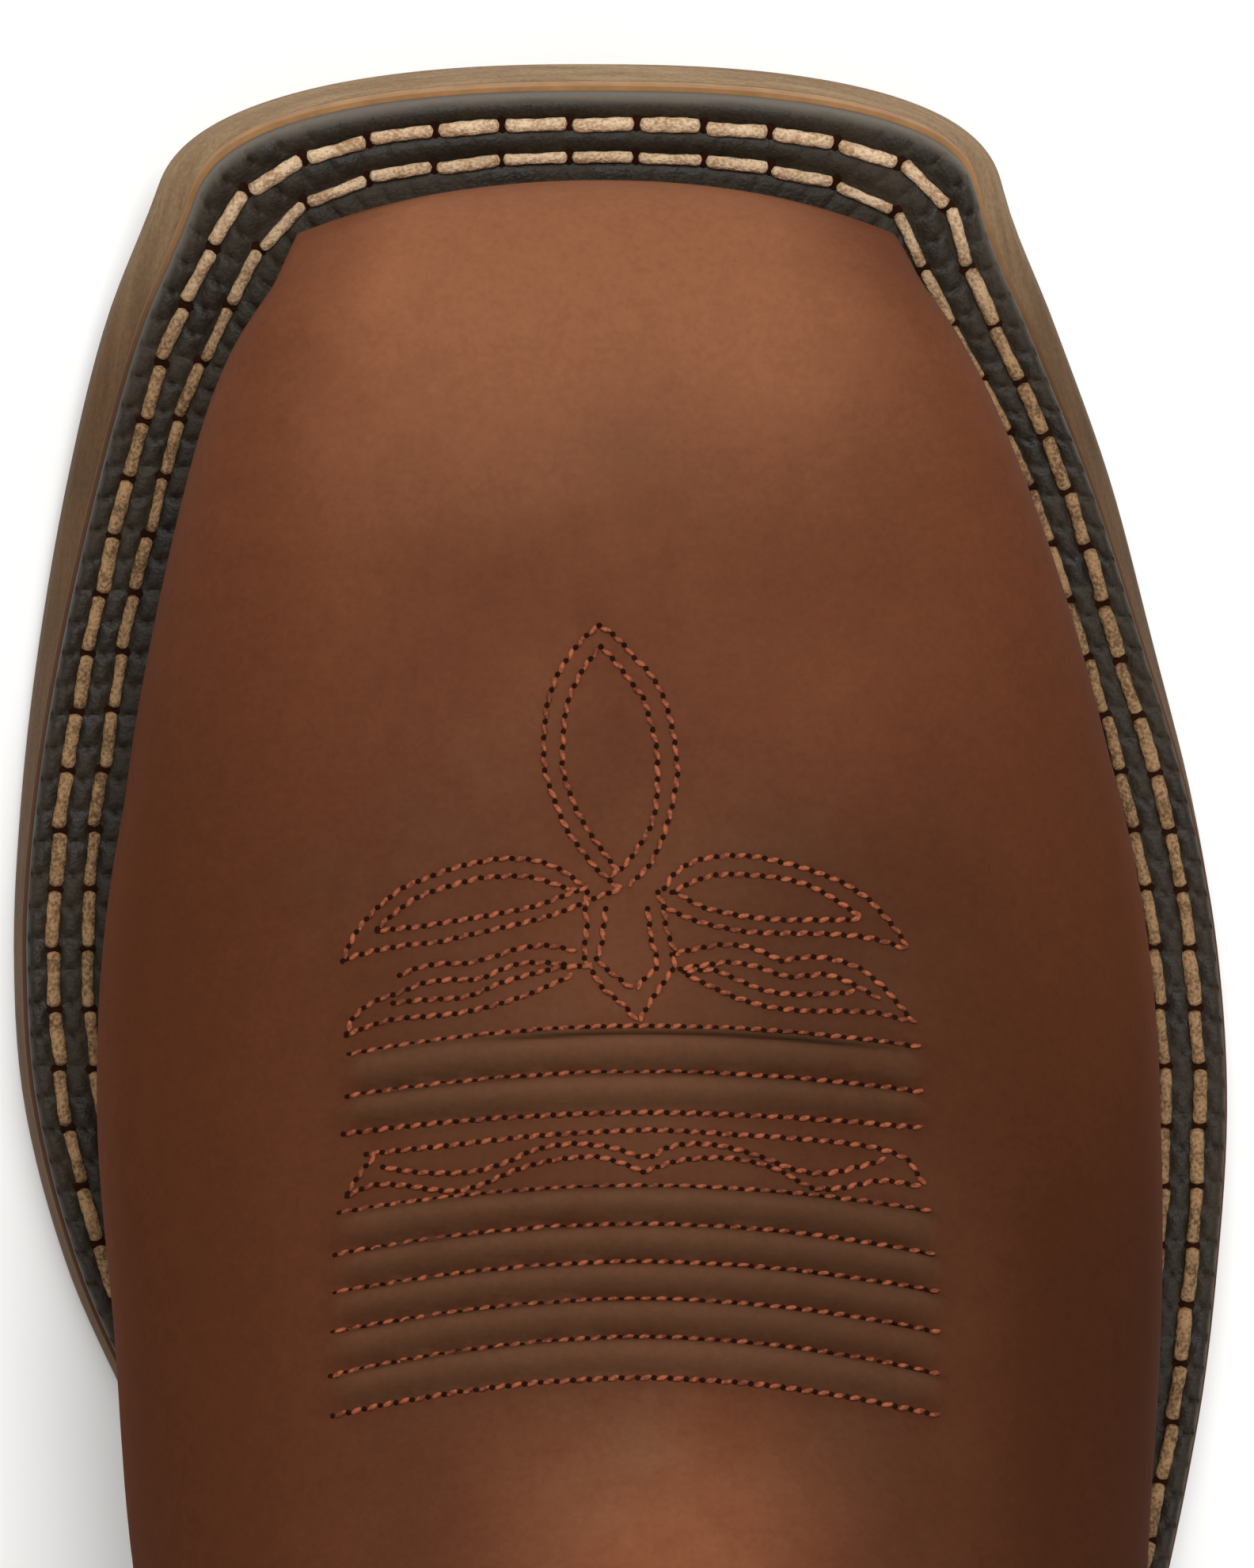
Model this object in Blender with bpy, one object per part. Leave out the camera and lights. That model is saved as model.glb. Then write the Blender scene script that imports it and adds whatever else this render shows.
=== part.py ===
"""Western work boot, right foot, broad square toe, as an assembly of separate solids.

The toe points to -Y and the wearer's left, the medial side, is +X. A station is the
distance back from the toe tip of the outsole. All sizes are in metres.
"""

import math

import bmesh
import bpy
import numpy as np
from mathutils import Vector
from mathutils.bvhtree import BVHTree

# Driving sizes of the sole
LENGTH = 0.305  # outsole, toe tip to heel back
BALL_WIDTH = 0.119  # outsole at its widest
TOE_SPRING = 0.011  # rise of the tread at the toe tip
TREAD_START = 0.085  # station where the tread meets the floor
HEEL_LENGTH = 0.073  # from the heel back to the breast
WAIST_LENGTH = 0.100  # raised waist, from the forepart's tread to the breast
HEEL_HEIGHT = 0.030  # underside of the outsole above the floor at the heel
OUTSOLE_THICK = 0.0075
MIDSOLE_THICK = 0.0022
WELT_THICK = 0.0032
INSOLE_THICK = 0.0035
LIFT_THICK = 0.0065
FIT_GAP = 0.0003  # between pieces that touch
INSOLE_CLEAR = 0.0012  # between the insole's edge and the wall of the upper

# Ends of the outsole outline: a superellipse closes each end
TOE_CAP = 0.012  # depth of the blunt toe
TOE_POWER = 2.4
TOE_AXIS = 0.0030  # middle of the toe, towards the medial side
HEEL_CAP = 0.038
HEEL_POWER = 2.1
HEEL_AXIS = 0.0025
TOE_BLEND = 0.040  # length over which an inset outline shifts back from the toe
HEEL_BLEND = 0.060
CAP_STEPS = 7
SIDE_STEP = 0.0116  # spacing of the stations along the sides

# Outsole outline: station as a share of LENGTH, half widths as shares of BALL_WIDTH / 2
SOLE_OUTLINE = (
    # station, medial, lateral
    (0.000, 0.706, 0.597),
    (0.039, 0.766, 0.620),
    (0.082, 0.850, 0.708),
    (0.131, 0.911, 0.802),
    (0.184, 0.958, 0.877),
    (0.233, 0.987, 0.941),
    (0.285, 1.000, 0.985),
    (0.334, 0.982, 1.000),
    (0.387, 0.909, 0.983),
    (0.436, 0.797, 0.951),
    (0.492, 0.681, 0.887),
    (0.557, 0.588, 0.787),
    (0.623, 0.558, 0.697),
    (0.689, 0.571, 0.639),
    (0.770, 0.625, 0.602),
    (0.859, 0.677, 0.593),
    (1.000, 0.697, 0.588),
)

# What shows outside the upper: the ledge of the outsole, then the welt
LEDGE_TIP = 0.0007
LEDGE_CORNER = 0.0030
LEDGE_BALL = 0.0011
MIDSOLE_PROUD = 0.0004  # the midsole's edge beyond the welt
WELT_WIDTH = 0.0084  # welt outside the upper, along the forepart
WELT_HEEL = 0.0026  # the same at the heel
WELT_UNDER = 0.0060  # welt that lies under the upper and the insole

# Upper
WALL = 0.0022
INSTEP_HEIGHT = 0.100  # vamp above the welt at the throat
SHAFT_HEIGHT = 0.306  # front of the collar above the floor
SCALLOP = 0.020  # side of the collar above its front and back
SCALLOP_START = 0.72  # share of SHAFT_HEIGHT where the scallop begins to lift the rows
COLUMNS = 34  # quads across a section
FRONT_CORNER = 4  # outline point where the toe edge ends and the open sections begin
TOE_ROWS = 10  # outline points up to here carry two sections each

# Open sections, toe to heel. They stand on the welt and pass over the ridge of the vamp.
# base and ridge are stations as shares of LENGTH, rise is a share of INSTEP_HEIGHT above the
# welt of the forepart, ridge_x and the widest half widths are shares of BALL_WIDTH / 2,
# belly is the height share of the widest point, round is the power of the top curve, and bow
# is how far the sides of a section sit behind its ridge, as a share of LENGTH.
FOOT_SECTIONS = (
    # base, ridge, rise, ridge_x, medial, lateral, belly, round, bow
    (0.0400, 0.0405, 0.128, 0.050, 0.535, 0.412, 0.50, 3.2, 0.0155),
    (0.0500, 0.0407, 0.165, 0.050, 0.545, 0.418, 0.50, 3.1, 0.0150),
    (0.0620, 0.0450, 0.218, 0.048, 0.563, 0.434, 0.49, 3.0, 0.0142),
    (0.0760, 0.0545, 0.256, 0.046, 0.588, 0.460, 0.47, 2.9, 0.0125),
    (0.0950, 0.0742, 0.290, 0.042, 0.634, 0.520, 0.43, 2.85, 0.0093),
    (0.1220, 0.1040, 0.313, 0.037, 0.687, 0.590, 0.40, 2.75, 0.0060),
    (0.1700, 0.1560, 0.339, 0.029, 0.748, 0.683, 0.37, 2.6, 0.0025),
    (0.2230, 0.2130, 0.378, 0.022, 0.810, 0.761, 0.35, 2.45, 0.0005),
    (0.2800, 0.2730, 0.442, 0.020, 0.860, 0.819, 0.34, 2.35, 0.0),
    (0.3395, 0.3330, 0.522, 0.021, 0.872, 0.840, 0.34, 2.25, 0.0),
    (0.4030, 0.3950, 0.622, 0.026, 0.847, 0.834, 0.35, 2.15, 0.0),
    (0.4760, 0.4560, 0.742, 0.034, 0.822, 0.802, 0.38, 2.05, 0.0),
    (0.5650, 0.5090, 0.890, 0.039, 0.765, 0.765, 0.42, 2.05, 0.0),
    (0.6760, 0.5470, 1.063, 0.042, 0.728, 0.720, 0.46, 2.10, 0.0),
    (0.7990, 0.5670, 1.228, 0.042, 0.716, 0.682, 0.48, 2.15, 0.0),
    (0.9030, 0.5750, 1.372, 0.042, 0.714, 0.666, 0.48, 2.15, 0.0),
    (0.9630, 0.5772, 1.497, 0.042, 0.718, 0.662, 0.48, 2.15, 0.0),
    (0.9860, 0.5774, 1.580, 0.042, 0.720, 0.662, 0.48, 2.15, 0.0),
)

# Closed sections, heel to collar. back and front are stations as shares of LENGTH. back_z is
# a share of the height from the heel's welt to the collar, front_z from the throat to it.
SHAFT_SECTIONS = (
    # back, back_z, front, front_z, medial, lateral, belly, round
    (0.9880, 0.000, 0.5773, 0.0194, 0.722, 0.663, 0.48, 2.15),
    (0.9915, 0.040, 0.5770, 0.0721, 0.724, 0.664, 0.48, 2.15),
    (0.9930, 0.085, 0.5766, 0.1305, 0.726, 0.666, 0.48, 2.15),
    (0.9915, 0.135, 0.5760, 0.1949, 0.728, 0.667, 0.48, 2.15),
    (0.9875, 0.190, 0.5750, 0.2631, 0.729, 0.668, 0.49, 2.15),
    (0.9820, 0.250, 0.5738, 0.3352, 0.731, 0.669, 0.49, 2.15),
    (0.9770, 0.315, 0.5720, 0.4113, 0.734, 0.671, 0.49, 2.15),
    (0.9735, 0.385, 0.5698, 0.4892, 0.738, 0.675, 0.50, 2.2),
    (0.9725, 0.460, 0.5670, 0.5692, 0.744, 0.680, 0.50, 2.2),
    (0.9740, 0.540, 0.5635, 0.6491, 0.750, 0.686, 0.50, 2.2),
    (0.9780, 0.625, 0.5590, 0.7290, 0.758, 0.693, 0.50, 2.2),
    (0.9825, 0.715, 0.5540, 0.8070, 0.766, 0.701, 0.50, 2.25),
    (0.9870, 0.810, 0.5485, 0.8811, 0.774, 0.709, 0.50, 2.25),
    (0.9905, 0.905, 0.5435, 0.9454, 0.781, 0.716, 0.50, 2.25),
    (0.9930, 1.000, 0.5400, 1.0000, 0.786, 0.721, 0.50, 2.3),
)
UNDERSIDE_POWER = 2.2  # curve of a section below its widest point
NEARLY_WIDEST = 0.999  # share above which a foot counts as the widest point
CURVE_STEPS = 48

# Heel counter, an overlay round the back of the foot part
COUNTER_THICK = 0.0016
COUNTER_GAP = 0.0004  # between the counter and the upper
COUNTER_EDGE = (
    # station as a share of LENGTH, height above the heel's welt as a share of INSTEP_HEIGHT
    (0.690, -0.300),
    (0.715, 0.220),
    (0.770, 0.420),
    (0.850, 0.540),
    (0.930, 0.640),
    (1.020, 0.700),
)
COUNTER_STEPS = 10
COUNTER_ROWS = 0.60  # share of LENGTH behind which the counter's grid begins
COUNTER_CLOSED_ROWS = 9  # closed sections that the counter's grid takes in

# Pull straps
STRAP_WIDTH = 0.030
STRAP_THICK = 0.0020
STRAP_DROP = 0.055  # length below the collar, outside and inside
STRAP_STAND = 0.009  # loop above the collar
STRAP_TURN = 0.004  # below the collar, where the strap leaves the wall
STRAP_ACROSS = 3  # quads
STRAP_LEG = 4
STRAP_ARCH = 6

# Tread and heel
EDGE_ROUND = 0.0012
SIDE_SHOULDER = 0.55  # share of OUTSOLE_THICK at which the side begins to draw in
SIDE_DRAFT = 0.15  # share of the ledge drawn in at the shoulder
WELT_BEVEL = 0.0008
GROOVE_WIDTH = 0.0042
GROOVE_DEPTH = 0.0028
GROOVE_PITCH = 0.0125
TREAD_RIM = 0.010  # plain rim outside the grooves
LIFT_GROOVE_START = 0.022  # behind the breast
LIFT_GROOVE_PITCH = 0.015
HEEL_TAPER = 0.0020  # how much smaller the heel is at its foot, all round
BREAST_HOLLOW = 0.004
BREAST_STEPS = 8
SOLE_SHARP = 35  # degrees between faces from which an edge is shaded sharp
LEATHER_SHARP = 50
MERGE_DISTANCE = 1e-6

# Materials: colour, roughness, metallic
MATERIALS = {
    "outsole_rubber": ((0.270, 0.185, 0.115), 0.70, 0.0),
    "midsole_leather": ((0.330, 0.170, 0.070), 0.60, 0.0),
    "welt_rubber": ((0.030, 0.026, 0.022), 0.65, 0.0),
    "heel_stack": ((0.130, 0.070, 0.035), 0.50, 0.0),
    "lift_rubber": ((0.200, 0.135, 0.085), 0.75, 0.0),
    "insole_foam": ((0.210, 0.140, 0.080), 0.85, 0.0),
    "upper_leather": ((0.170, 0.066, 0.034), 0.55, 0.0),
    "counter_leather": ((0.150, 0.058, 0.030), 0.55, 0.0),
    "strap_leather": ((0.140, 0.055, 0.028), 0.60, 0.0),
}

HALF_BALL = BALL_WIDTH / 2
BREAST = LENGTH - HEEL_LENGTH  # station of the heel breast
WAIST_START = BREAST - WAIST_LENGTH  # station where the waist leaves the floor
STACK = OUTSOLE_THICK + MIDSOLE_THICK + WELT_THICK + 2 * FIT_GAP
SEAT = STACK + FIT_GAP  # underside of the upper above the underside of the outsole


def smoothstep(share):
    share = min(max(share, 0.0), 1.0)
    return share * share * (3 - 2 * share)


def through(table, column, at):
    """Smooth curve through one column of a table whose first column is the position."""
    xs = [row[0] for row in table]
    ys = [row[column] for row in table]
    at = min(max(at, xs[0]), xs[-1])
    i = min(max(int(np.searchsorted(xs, at)) - 1, 0), len(xs) - 2)

    def slope(k):
        low, high = max(k - 1, 0), min(k + 1, len(xs) - 1)
        return (ys[high] - ys[low]) / (xs[high] - xs[low])

    step = xs[i + 1] - xs[i]
    t = (at - xs[i]) / step
    rise = ys[i + 1] - ys[i]
    start, end = slope(i) * step, slope(i + 1) * step
    return ys[i] + t * (start + t * (3 * rise - 2 * start - end + t * (start + end - 2 * rise)))


def tread_height(station):
    """Underside of the outsole above the floor: toe spring, flat tread, waist, heel seat."""
    if station < TREAD_START:
        return TOE_SPRING * (1 - max(station, 0.0) / TREAD_START) ** 2
    return HEEL_HEIGHT * smoothstep((station - WAIST_START) / (BREAST - WAIST_START))


def place(station, x, z):
    """A point of the boot from its station, its side offset and its height."""
    return Vector((x, station - LENGTH / 2, z))


def lean(station):
    """Slope of the tread at the toe, by which the layers above it lean back."""
    return 2 * TOE_SPRING / TREAD_START * max(1 - max(station, 0.0) / TREAD_START, 0.0)


def on_sole(station, x, height):
    """A point at a height above the underside of the outsole."""
    return place(station + height * lean(station), x, tread_height(station) + height)


def sole_loop(depth=lambda station: 0.0):
    """Outline of the outsole as a closed loop of (station, x), moved in by depth(station).

    It runs from the toe tip along the medial side to the heel and back along the lateral
    side. Every loop has the same number of points, so loops can be joined point by point.
    """
    rungs = []

    def add(station, cap, axis):
        share = station / LENGTH
        medial = HALF_BALL * through(SOLE_OUTLINE, 1, share) - depth(station)
        lateral = depth(station) - HALF_BALL * through(SOLE_OUTLINE, 2, share)
        toward = depth(0.0) * (1 - smoothstep(station / TOE_BLEND))
        toward -= depth(LENGTH) * (1 - smoothstep((LENGTH - station) / HEEL_BLEND))
        sides = [axis + (side - axis) * cap for side in (medial, lateral)]
        rungs.append((station + toward, *sides))

    def corner(step, power):
        angle = math.pi / 2 * step / CAP_STEPS
        return 1 - max(math.cos(angle), 0.0) ** (2 / power), math.sin(angle) ** (2 / power)

    for step in range(CAP_STEPS + 1):
        along, cap = corner(step, TOE_POWER)
        add(TOE_CAP * along, cap, TOE_AXIS)
    first, last = TOE_CAP, LENGTH - HEEL_CAP
    count = round((last - first) / SIDE_STEP)
    for step in range(1, count):
        add(first + (last - first) * step / count, 1.0, 0.0)
    for step in range(CAP_STEPS, -1, -1):
        along, cap = corner(step, HEEL_POWER)
        add(LENGTH - HEEL_CAP * along, cap, HEEL_AXIS)
    medial_side = [(station, medial) for station, medial, _ in rungs]
    lateral_side = [(station, lateral) for station, _, lateral in rungs[1:-1]]
    return np.array(medial_side + lateral_side[::-1])


def ledge(station):
    """How far the outsole stands out beyond the welt."""
    tip = smoothstep(station / TOE_CAP)
    back = smoothstep((station - 2 * TOE_CAP) / (TREAD_START - 2 * TOE_CAP))
    side = LEDGE_CORNER + (LEDGE_BALL - LEDGE_CORNER) * back
    return LEDGE_TIP + (side - LEDGE_TIP) * tip


def welt_show(station):
    """Width of the welt outside the upper."""
    return WELT_WIDTH + (WELT_HEEL - WELT_WIDTH) * smoothstep(
        (station - WAIST_START) / (BREAST - WAIST_START)
    )


def feather_depth(station):
    """From the edge of the outsole to the line where the upper meets the welt."""
    return ledge(station) + welt_show(station)


def loop_rungs(loop):
    """Pairs of loop indices that face each other across the sole, toe to heel."""
    half = len(loop) // 2
    return [(i, (len(loop) - i) % len(loop)) for i in range(half + 1)]


def add_object(name, verts, faces, material, sharp=SOLE_SHARP):
    mesh = bpy.data.meshes.new(name)
    mesh.from_pydata([tuple(v) for v in verts], [], faces)
    mesh.materials.append(material)
    shape = bmesh.new()
    shape.from_mesh(mesh)
    bmesh.ops.remove_doubles(shape, verts=shape.verts, dist=MERGE_DISTANCE)
    bmesh.ops.recalc_face_normals(shape, faces=shape.faces)
    shape.to_mesh(mesh)
    shape.free()
    mesh.shade_smooth()
    mesh.set_sharp_from_angle(angle=math.radians(sharp))
    obj = bpy.data.objects.new(name, mesh)
    bpy.context.scene.collection.objects.link(obj)
    return obj


def make_material(name):
    colour, rough, metal = MATERIALS[name]
    material = bpy.data.materials.new(name)
    material.use_nodes = True
    shader = material.node_tree.nodes["Principled BSDF"]
    shader.inputs["Base Color"].default_value = (*colour, 1.0)
    shader.inputs["Roughness"].default_value = rough
    shader.inputs["Metallic"].default_value = metal
    return material


def stacked_slab(name, rings, material):
    """Solid from rings of one length, bottom to top. The ends are closed rung by rung."""
    count = len(rings[0])
    verts = [v for ring in rings for v in ring]
    faces = []
    for low in range(len(rings) - 1):
        for i in range(count):
            j = (i + 1) % count
            a, b = low * count, (low + 1) * count
            faces.append((a + i, a + j, b + j, b + i))
    rungs = loop_rungs(rings[0])
    top = (len(rings) - 1) * count
    for (a, b), (c, d) in zip(rungs, rungs[1:]):
        for start in (0, top):
            corners = dict.fromkeys((start + a, start + c, start + d, start + b))
            faces.append(tuple(corners))
    return add_object(name, verts, faces, material)


def layer_ring(loop, height):
    """Loop points in space, at a height above the underside of the outsole."""
    return [on_sole(s, x, height) for s, x in loop]


def cut(target, cutters):
    """Boolean difference of joined cutters, applied by the modifier stack."""
    for number, cutter in enumerate(cutters):
        cutter.hide_render = True
        cutter.display_type = "WIRE"
        modifier = target.modifiers.new(f"groove_{number}", "BOOLEAN")
        modifier.operation = "DIFFERENCE"
        modifier.solver = "EXACT"
        modifier.object = cutter


def groove_cutter(name, station, z):
    """A bar across the tread, as far below the tread as the groove is deep."""
    medial, lateral = groove_ends(station)
    bottom, top = z - GROOVE_DEPTH, z + GROOVE_DEPTH
    low, high = station - GROOVE_WIDTH / 2, station + GROOVE_WIDTH / 2
    verts = [
        place(s, x, h) for h in (bottom, top) for s, x in (
            (low, lateral), (low, medial), (high, medial), (high, lateral)
        )
    ]
    faces = [(0, 1, 2, 3), (4, 5, 6, 7), (0, 1, 5, 4), (1, 2, 6, 5), (2, 3, 7, 6), (3, 0, 4, 7)]
    return add_object(name, verts, faces, None)


def groove_ends(station):
    """Medial and lateral ends of a tread groove at a station."""
    loop = sole_loop(lambda s: TREAD_RIM)
    half = len(loop) // 2
    sides = loop[: half + 1], loop[half:][::-1]
    return [float(np.interp(station, side[:, 0], side[:, 1])) for side in sides]


def build_outsole():
    rounded = sole_loop(lambda s: EDGE_ROUND)
    shoulder = sole_loop(lambda s: SIDE_DRAFT * ledge(s))
    upper_edge = sole_loop(lambda s: ledge(s) - MIDSOLE_PROUD)
    rings = [
        layer_ring(rounded, 0.0),
        layer_ring(sole_loop(), EDGE_ROUND),
        layer_ring(shoulder, SIDE_SHOULDER * OUTSOLE_THICK),
        layer_ring(upper_edge, OUTSOLE_THICK),
    ]
    sole = stacked_slab("outsole", rings, make_material("outsole_rubber"))
    first = TOE_CAP + TREAD_RIM
    count = int((WAIST_START + TREAD_RIM - first) / GROOVE_PITCH)
    cutters = []
    for number in range(count):
        station = first + number * GROOVE_PITCH
        z = tread_height(station)
        cutters.append(groove_cutter(f"tread_cutter_{number}", station, z))
    cut(sole, cutters)
    return sole


def build_midsole():
    edge = sole_loop(lambda s: ledge(s) - MIDSOLE_PROUD)
    low = OUTSOLE_THICK + FIT_GAP
    rings = [layer_ring(edge, low), layer_ring(edge, low + MIDSOLE_THICK)]
    return stacked_slab("midsole", rings, make_material("midsole_leather"))


def build_welt():
    outer = sole_loop(ledge)
    inner = sole_loop(lambda s: feather_depth(s) + WELT_UNDER)
    low = OUTSOLE_THICK + MIDSOLE_THICK + 2 * FIT_GAP
    high = low + WELT_THICK
    shoulder = sole_loop(lambda s: ledge(s) + WELT_BEVEL)
    rings = [
        layer_ring(outer, low),
        layer_ring(outer, high - WELT_BEVEL),
        layer_ring(shoulder, high),
        layer_ring(inner, high),
        layer_ring(inner, low),
    ]
    count = len(outer)
    verts = [v for ring in rings for v in ring]
    faces = []
    for r in range(len(rings)):
        a, b = r * count, (r + 1) % len(rings) * count
        for i in range(count):
            j = (i + 1) % count
            faces.append((a + i, a + j, b + j, b + i))
    return add_object("welt", verts, faces, make_material("welt_rubber"))


def build_insole():
    """Footbed inside the upper, with a filler below it in the hollow of the welt."""
    filler = sole_loop(lambda s: feather_depth(s) + WELT_UNDER + INSOLE_CLEAR)
    edge = sole_loop(lambda s: feather_depth(s) + WALL + INSOLE_CLEAR)
    rounded = sole_loop(lambda s: feather_depth(s) + WALL + INSOLE_CLEAR + EDGE_ROUND)
    rings = [
        layer_ring(filler, OUTSOLE_THICK + MIDSOLE_THICK + 2 * FIT_GAP),
        layer_ring(filler, SEAT),
        layer_ring(edge, SEAT),
        layer_ring(edge, SEAT + INSOLE_THICK - EDGE_ROUND),
        layer_ring(rounded, SEAT + INSOLE_THICK),
    ]
    return stacked_slab("insole", rings, make_material("insole_foam"))


def heel_outline(depth):
    """Heel outline behind the breast, moved in by depth and closed by a hollow breast."""
    edge = sole_loop(lambda s: depth)
    half = len(edge) // 2
    behind = sole_loop()[:, 0] > BREAST + BREAST_HOLLOW
    front = BREAST + depth
    medial, lateral = edge[: half + 1], edge[half:][::-1]
    ends = [float(np.interp(front, side[:, 0], side[:, 1])) for side in (lateral, medial)]
    breast = []
    for step in range(BREAST_STEPS + 1):
        share = step / BREAST_STEPS
        hollow = BREAST_HOLLOW * (1 - (2 * share - 1) ** 2)
        breast.append((front + hollow, ends[0] + (ends[1] - ends[0]) * share))
    return [tuple(p) for p in edge[behind]] + breast


def heel_piece(name, levels, material):
    """Heel part from (height, inset) levels, top and bottom flat."""
    outlines = [heel_outline(depth) for _, depth in levels]
    count = len(outlines[0])
    verts, faces = [], []
    for (height, _), outline in zip(levels, outlines):
        verts += [place(s, x, height) for s, x in outline]
    for low in range(len(levels) - 1):
        a, b = low * count, (low + 1) * count
        for i in range(count):
            j = (i + 1) % count
            faces.append((a + i, a + j, b + j, b + i))
    faces.append(tuple(range(count)))
    faces.append(tuple(range((len(levels) - 1) * count, len(levels) * count)))
    return add_object(name, verts, faces, material)


def build_heel():
    low = LIFT_THICK + FIT_GAP
    high = HEEL_HEIGHT - FIT_GAP
    tapered = EDGE_ROUND + HEEL_TAPER
    levels = [(low, tapered), (high, EDGE_ROUND)]
    heel = heel_piece("heel", levels, make_material("heel_stack"))
    levels = [(0.0, tapered + EDGE_ROUND), (EDGE_ROUND, tapered), (LIFT_THICK, tapered)]
    lift = heel_piece("heel_lift", levels, make_material("lift_rubber"))
    cutters = []
    room = HEEL_LENGTH - LIFT_GROOVE_START - TREAD_RIM - GROOVE_WIDTH
    for number in range(1 + int(room / LIFT_GROOVE_PITCH)):
        station = BREAST + LIFT_GROOVE_START + number * LIFT_GROOVE_PITCH
        cutters.append(groove_cutter(f"lift_cutter_{number}", station, 0.0))
    cut(lift, cutters)
    return heel, lift


def section_curve(feet, top, medial, lateral, belly, power, bow=0.0):
    """One section of the upper as points from the medial foot, over the top, to the lateral.

    feet are the medial and lateral ends, top is the ridge; a closed section has both feet
    on the axis. medial and lateral are the x of the widest points, bow sets the sides back.
    """
    sides = []
    for widest, foot in ((medial, feet[0]), (lateral, feet[1])):
        reach = widest - top.x
        share = min(abs((foot.x - top.x) / reach), NEARLY_WIDEST)
        turn = math.acos(share ** (UNDERSIDE_POWER / 2))
        drop = belly / math.sin(turn) ** (2 / UNDERSIDE_POWER)
        points = []
        for step in range(CURVE_STEPS):
            angle = math.pi / 2 * step / CURVE_STEPS
            across = math.sin(angle) ** (2 / power)
            points.append((across, belly + (1 - belly) * math.cos(angle) ** (2 / power)))
        for step in range(CURVE_STEPS + 1):
            angle = turn * step / CURVE_STEPS
            across = math.cos(angle) ** (2 / UNDERSIDE_POWER)
            points.append((across, belly - drop * math.sin(angle) ** (2 / UNDERSIDE_POWER)))
        line = []
        for across, height in points:
            point = foot.lerp(top, height)
            point.x = top.x + reach * across
            point.y += bow * across**2 * math.sqrt(max(height, 0.0))
            line.append(point)
        sides.append(resample(line, COLUMNS // 2))
    return sides[0][::-1] + sides[1][1:]


def resample(line, count):
    """count + 1 points at equal distances along a line of points."""
    pts = np.array([tuple(p) for p in line])
    run = np.concatenate(([0.0], np.cumsum(np.linalg.norm(np.diff(pts, axis=0), axis=1))))
    at = np.linspace(0.0, run[-1], count + 1)
    return [Vector([float(np.interp(a, run, pts[:, k])) for k in range(3)]) for a in at]


def feather_rims():
    """Line where the upper stands on the welt: medial and lateral points, toe to heel."""
    ring = layer_ring(sole_loop(feather_depth), SEAT)
    half = len(ring) // 2
    return ring[: half + 1], [ring[0]] + ring[half:][::-1]


def upper_rows():
    """Grid rows of the outer face, front to collar, and the number of the first closed row."""
    medial_rim, lateral_rim = feather_rims()
    front = medial_rim[FRONT_CORNER:0:-1] + lateral_rim[: FRONT_CORNER + 1]
    rows = [resample(front, COLUMNS)]
    last = len(medial_rim) - 1
    places = [FRONT_CORNER + k / 2 for k in range(1, 2 * (TOE_ROWS - FRONT_CORNER))]
    for at in places + list(range(TOE_ROWS, last)):
        low = int(at)
        feet = [rim[low].lerp(rim[low + 1], at - low) for rim in (medial_rim, lateral_rim)]
        share = feet[0].y / LENGTH + 0.5
        values = [through(FOOT_SECTIONS, k, share) for k in range(1, 9)]
        ridge, rise, axis, medial, lateral, belly, power, bow = values
        inner, outer = max(medial * HALF_BALL, feet[0].x), min(-lateral * HALF_BALL, feet[1].x)
        top = place(ridge * LENGTH, axis * HALF_BALL, STACK + rise * INSTEP_HEIGHT)
        rows.append(section_curve(feet, top, inner, outer, belly, power, bow * LENGTH))
    first_closed = len(rows)
    low = HEEL_HEIGHT + SEAT
    throat = STACK + FOOT_SECTIONS[-1][2] * INSTEP_HEIGHT
    for back, back_z, fore, fore_z, medial, lateral, belly, power in SHAFT_SECTIONS:
        foot = place(back * LENGTH, HEEL_AXIS, low + (SHAFT_HEIGHT - low) * back_z)
        top = place(fore * LENGTH, HEEL_AXIS, throat + (SHAFT_HEIGHT - throat) * fore_z)
        rows.append(section_curve((foot, foot), top, medial * HALF_BALL, -lateral * HALF_BALL,
                                  belly, power))
    lift_collar(rows[first_closed:])
    return rows, first_closed


def lift_collar(rows):
    """Raises the sides of the top rows, which gives the collar its scallop."""
    start = SCALLOP_START * SHAFT_HEIGHT
    middle = (SHAFT_SECTIONS[-1][0] + SHAFT_SECTIONS[-1][2]) / 2 * LENGTH - LENGTH / 2
    reach = (SHAFT_SECTIONS[-1][0] - SHAFT_SECTIONS[-1][2]) / 2 * LENGTH
    for row in rows:
        for point in row:
            along = min(abs(point.y - middle) / reach, 1.0)
            grow = smoothstep((point.z - start) / (SHAFT_HEIGHT - start))
            point.z += SCALLOP * grow * (1 - along * along)


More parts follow.
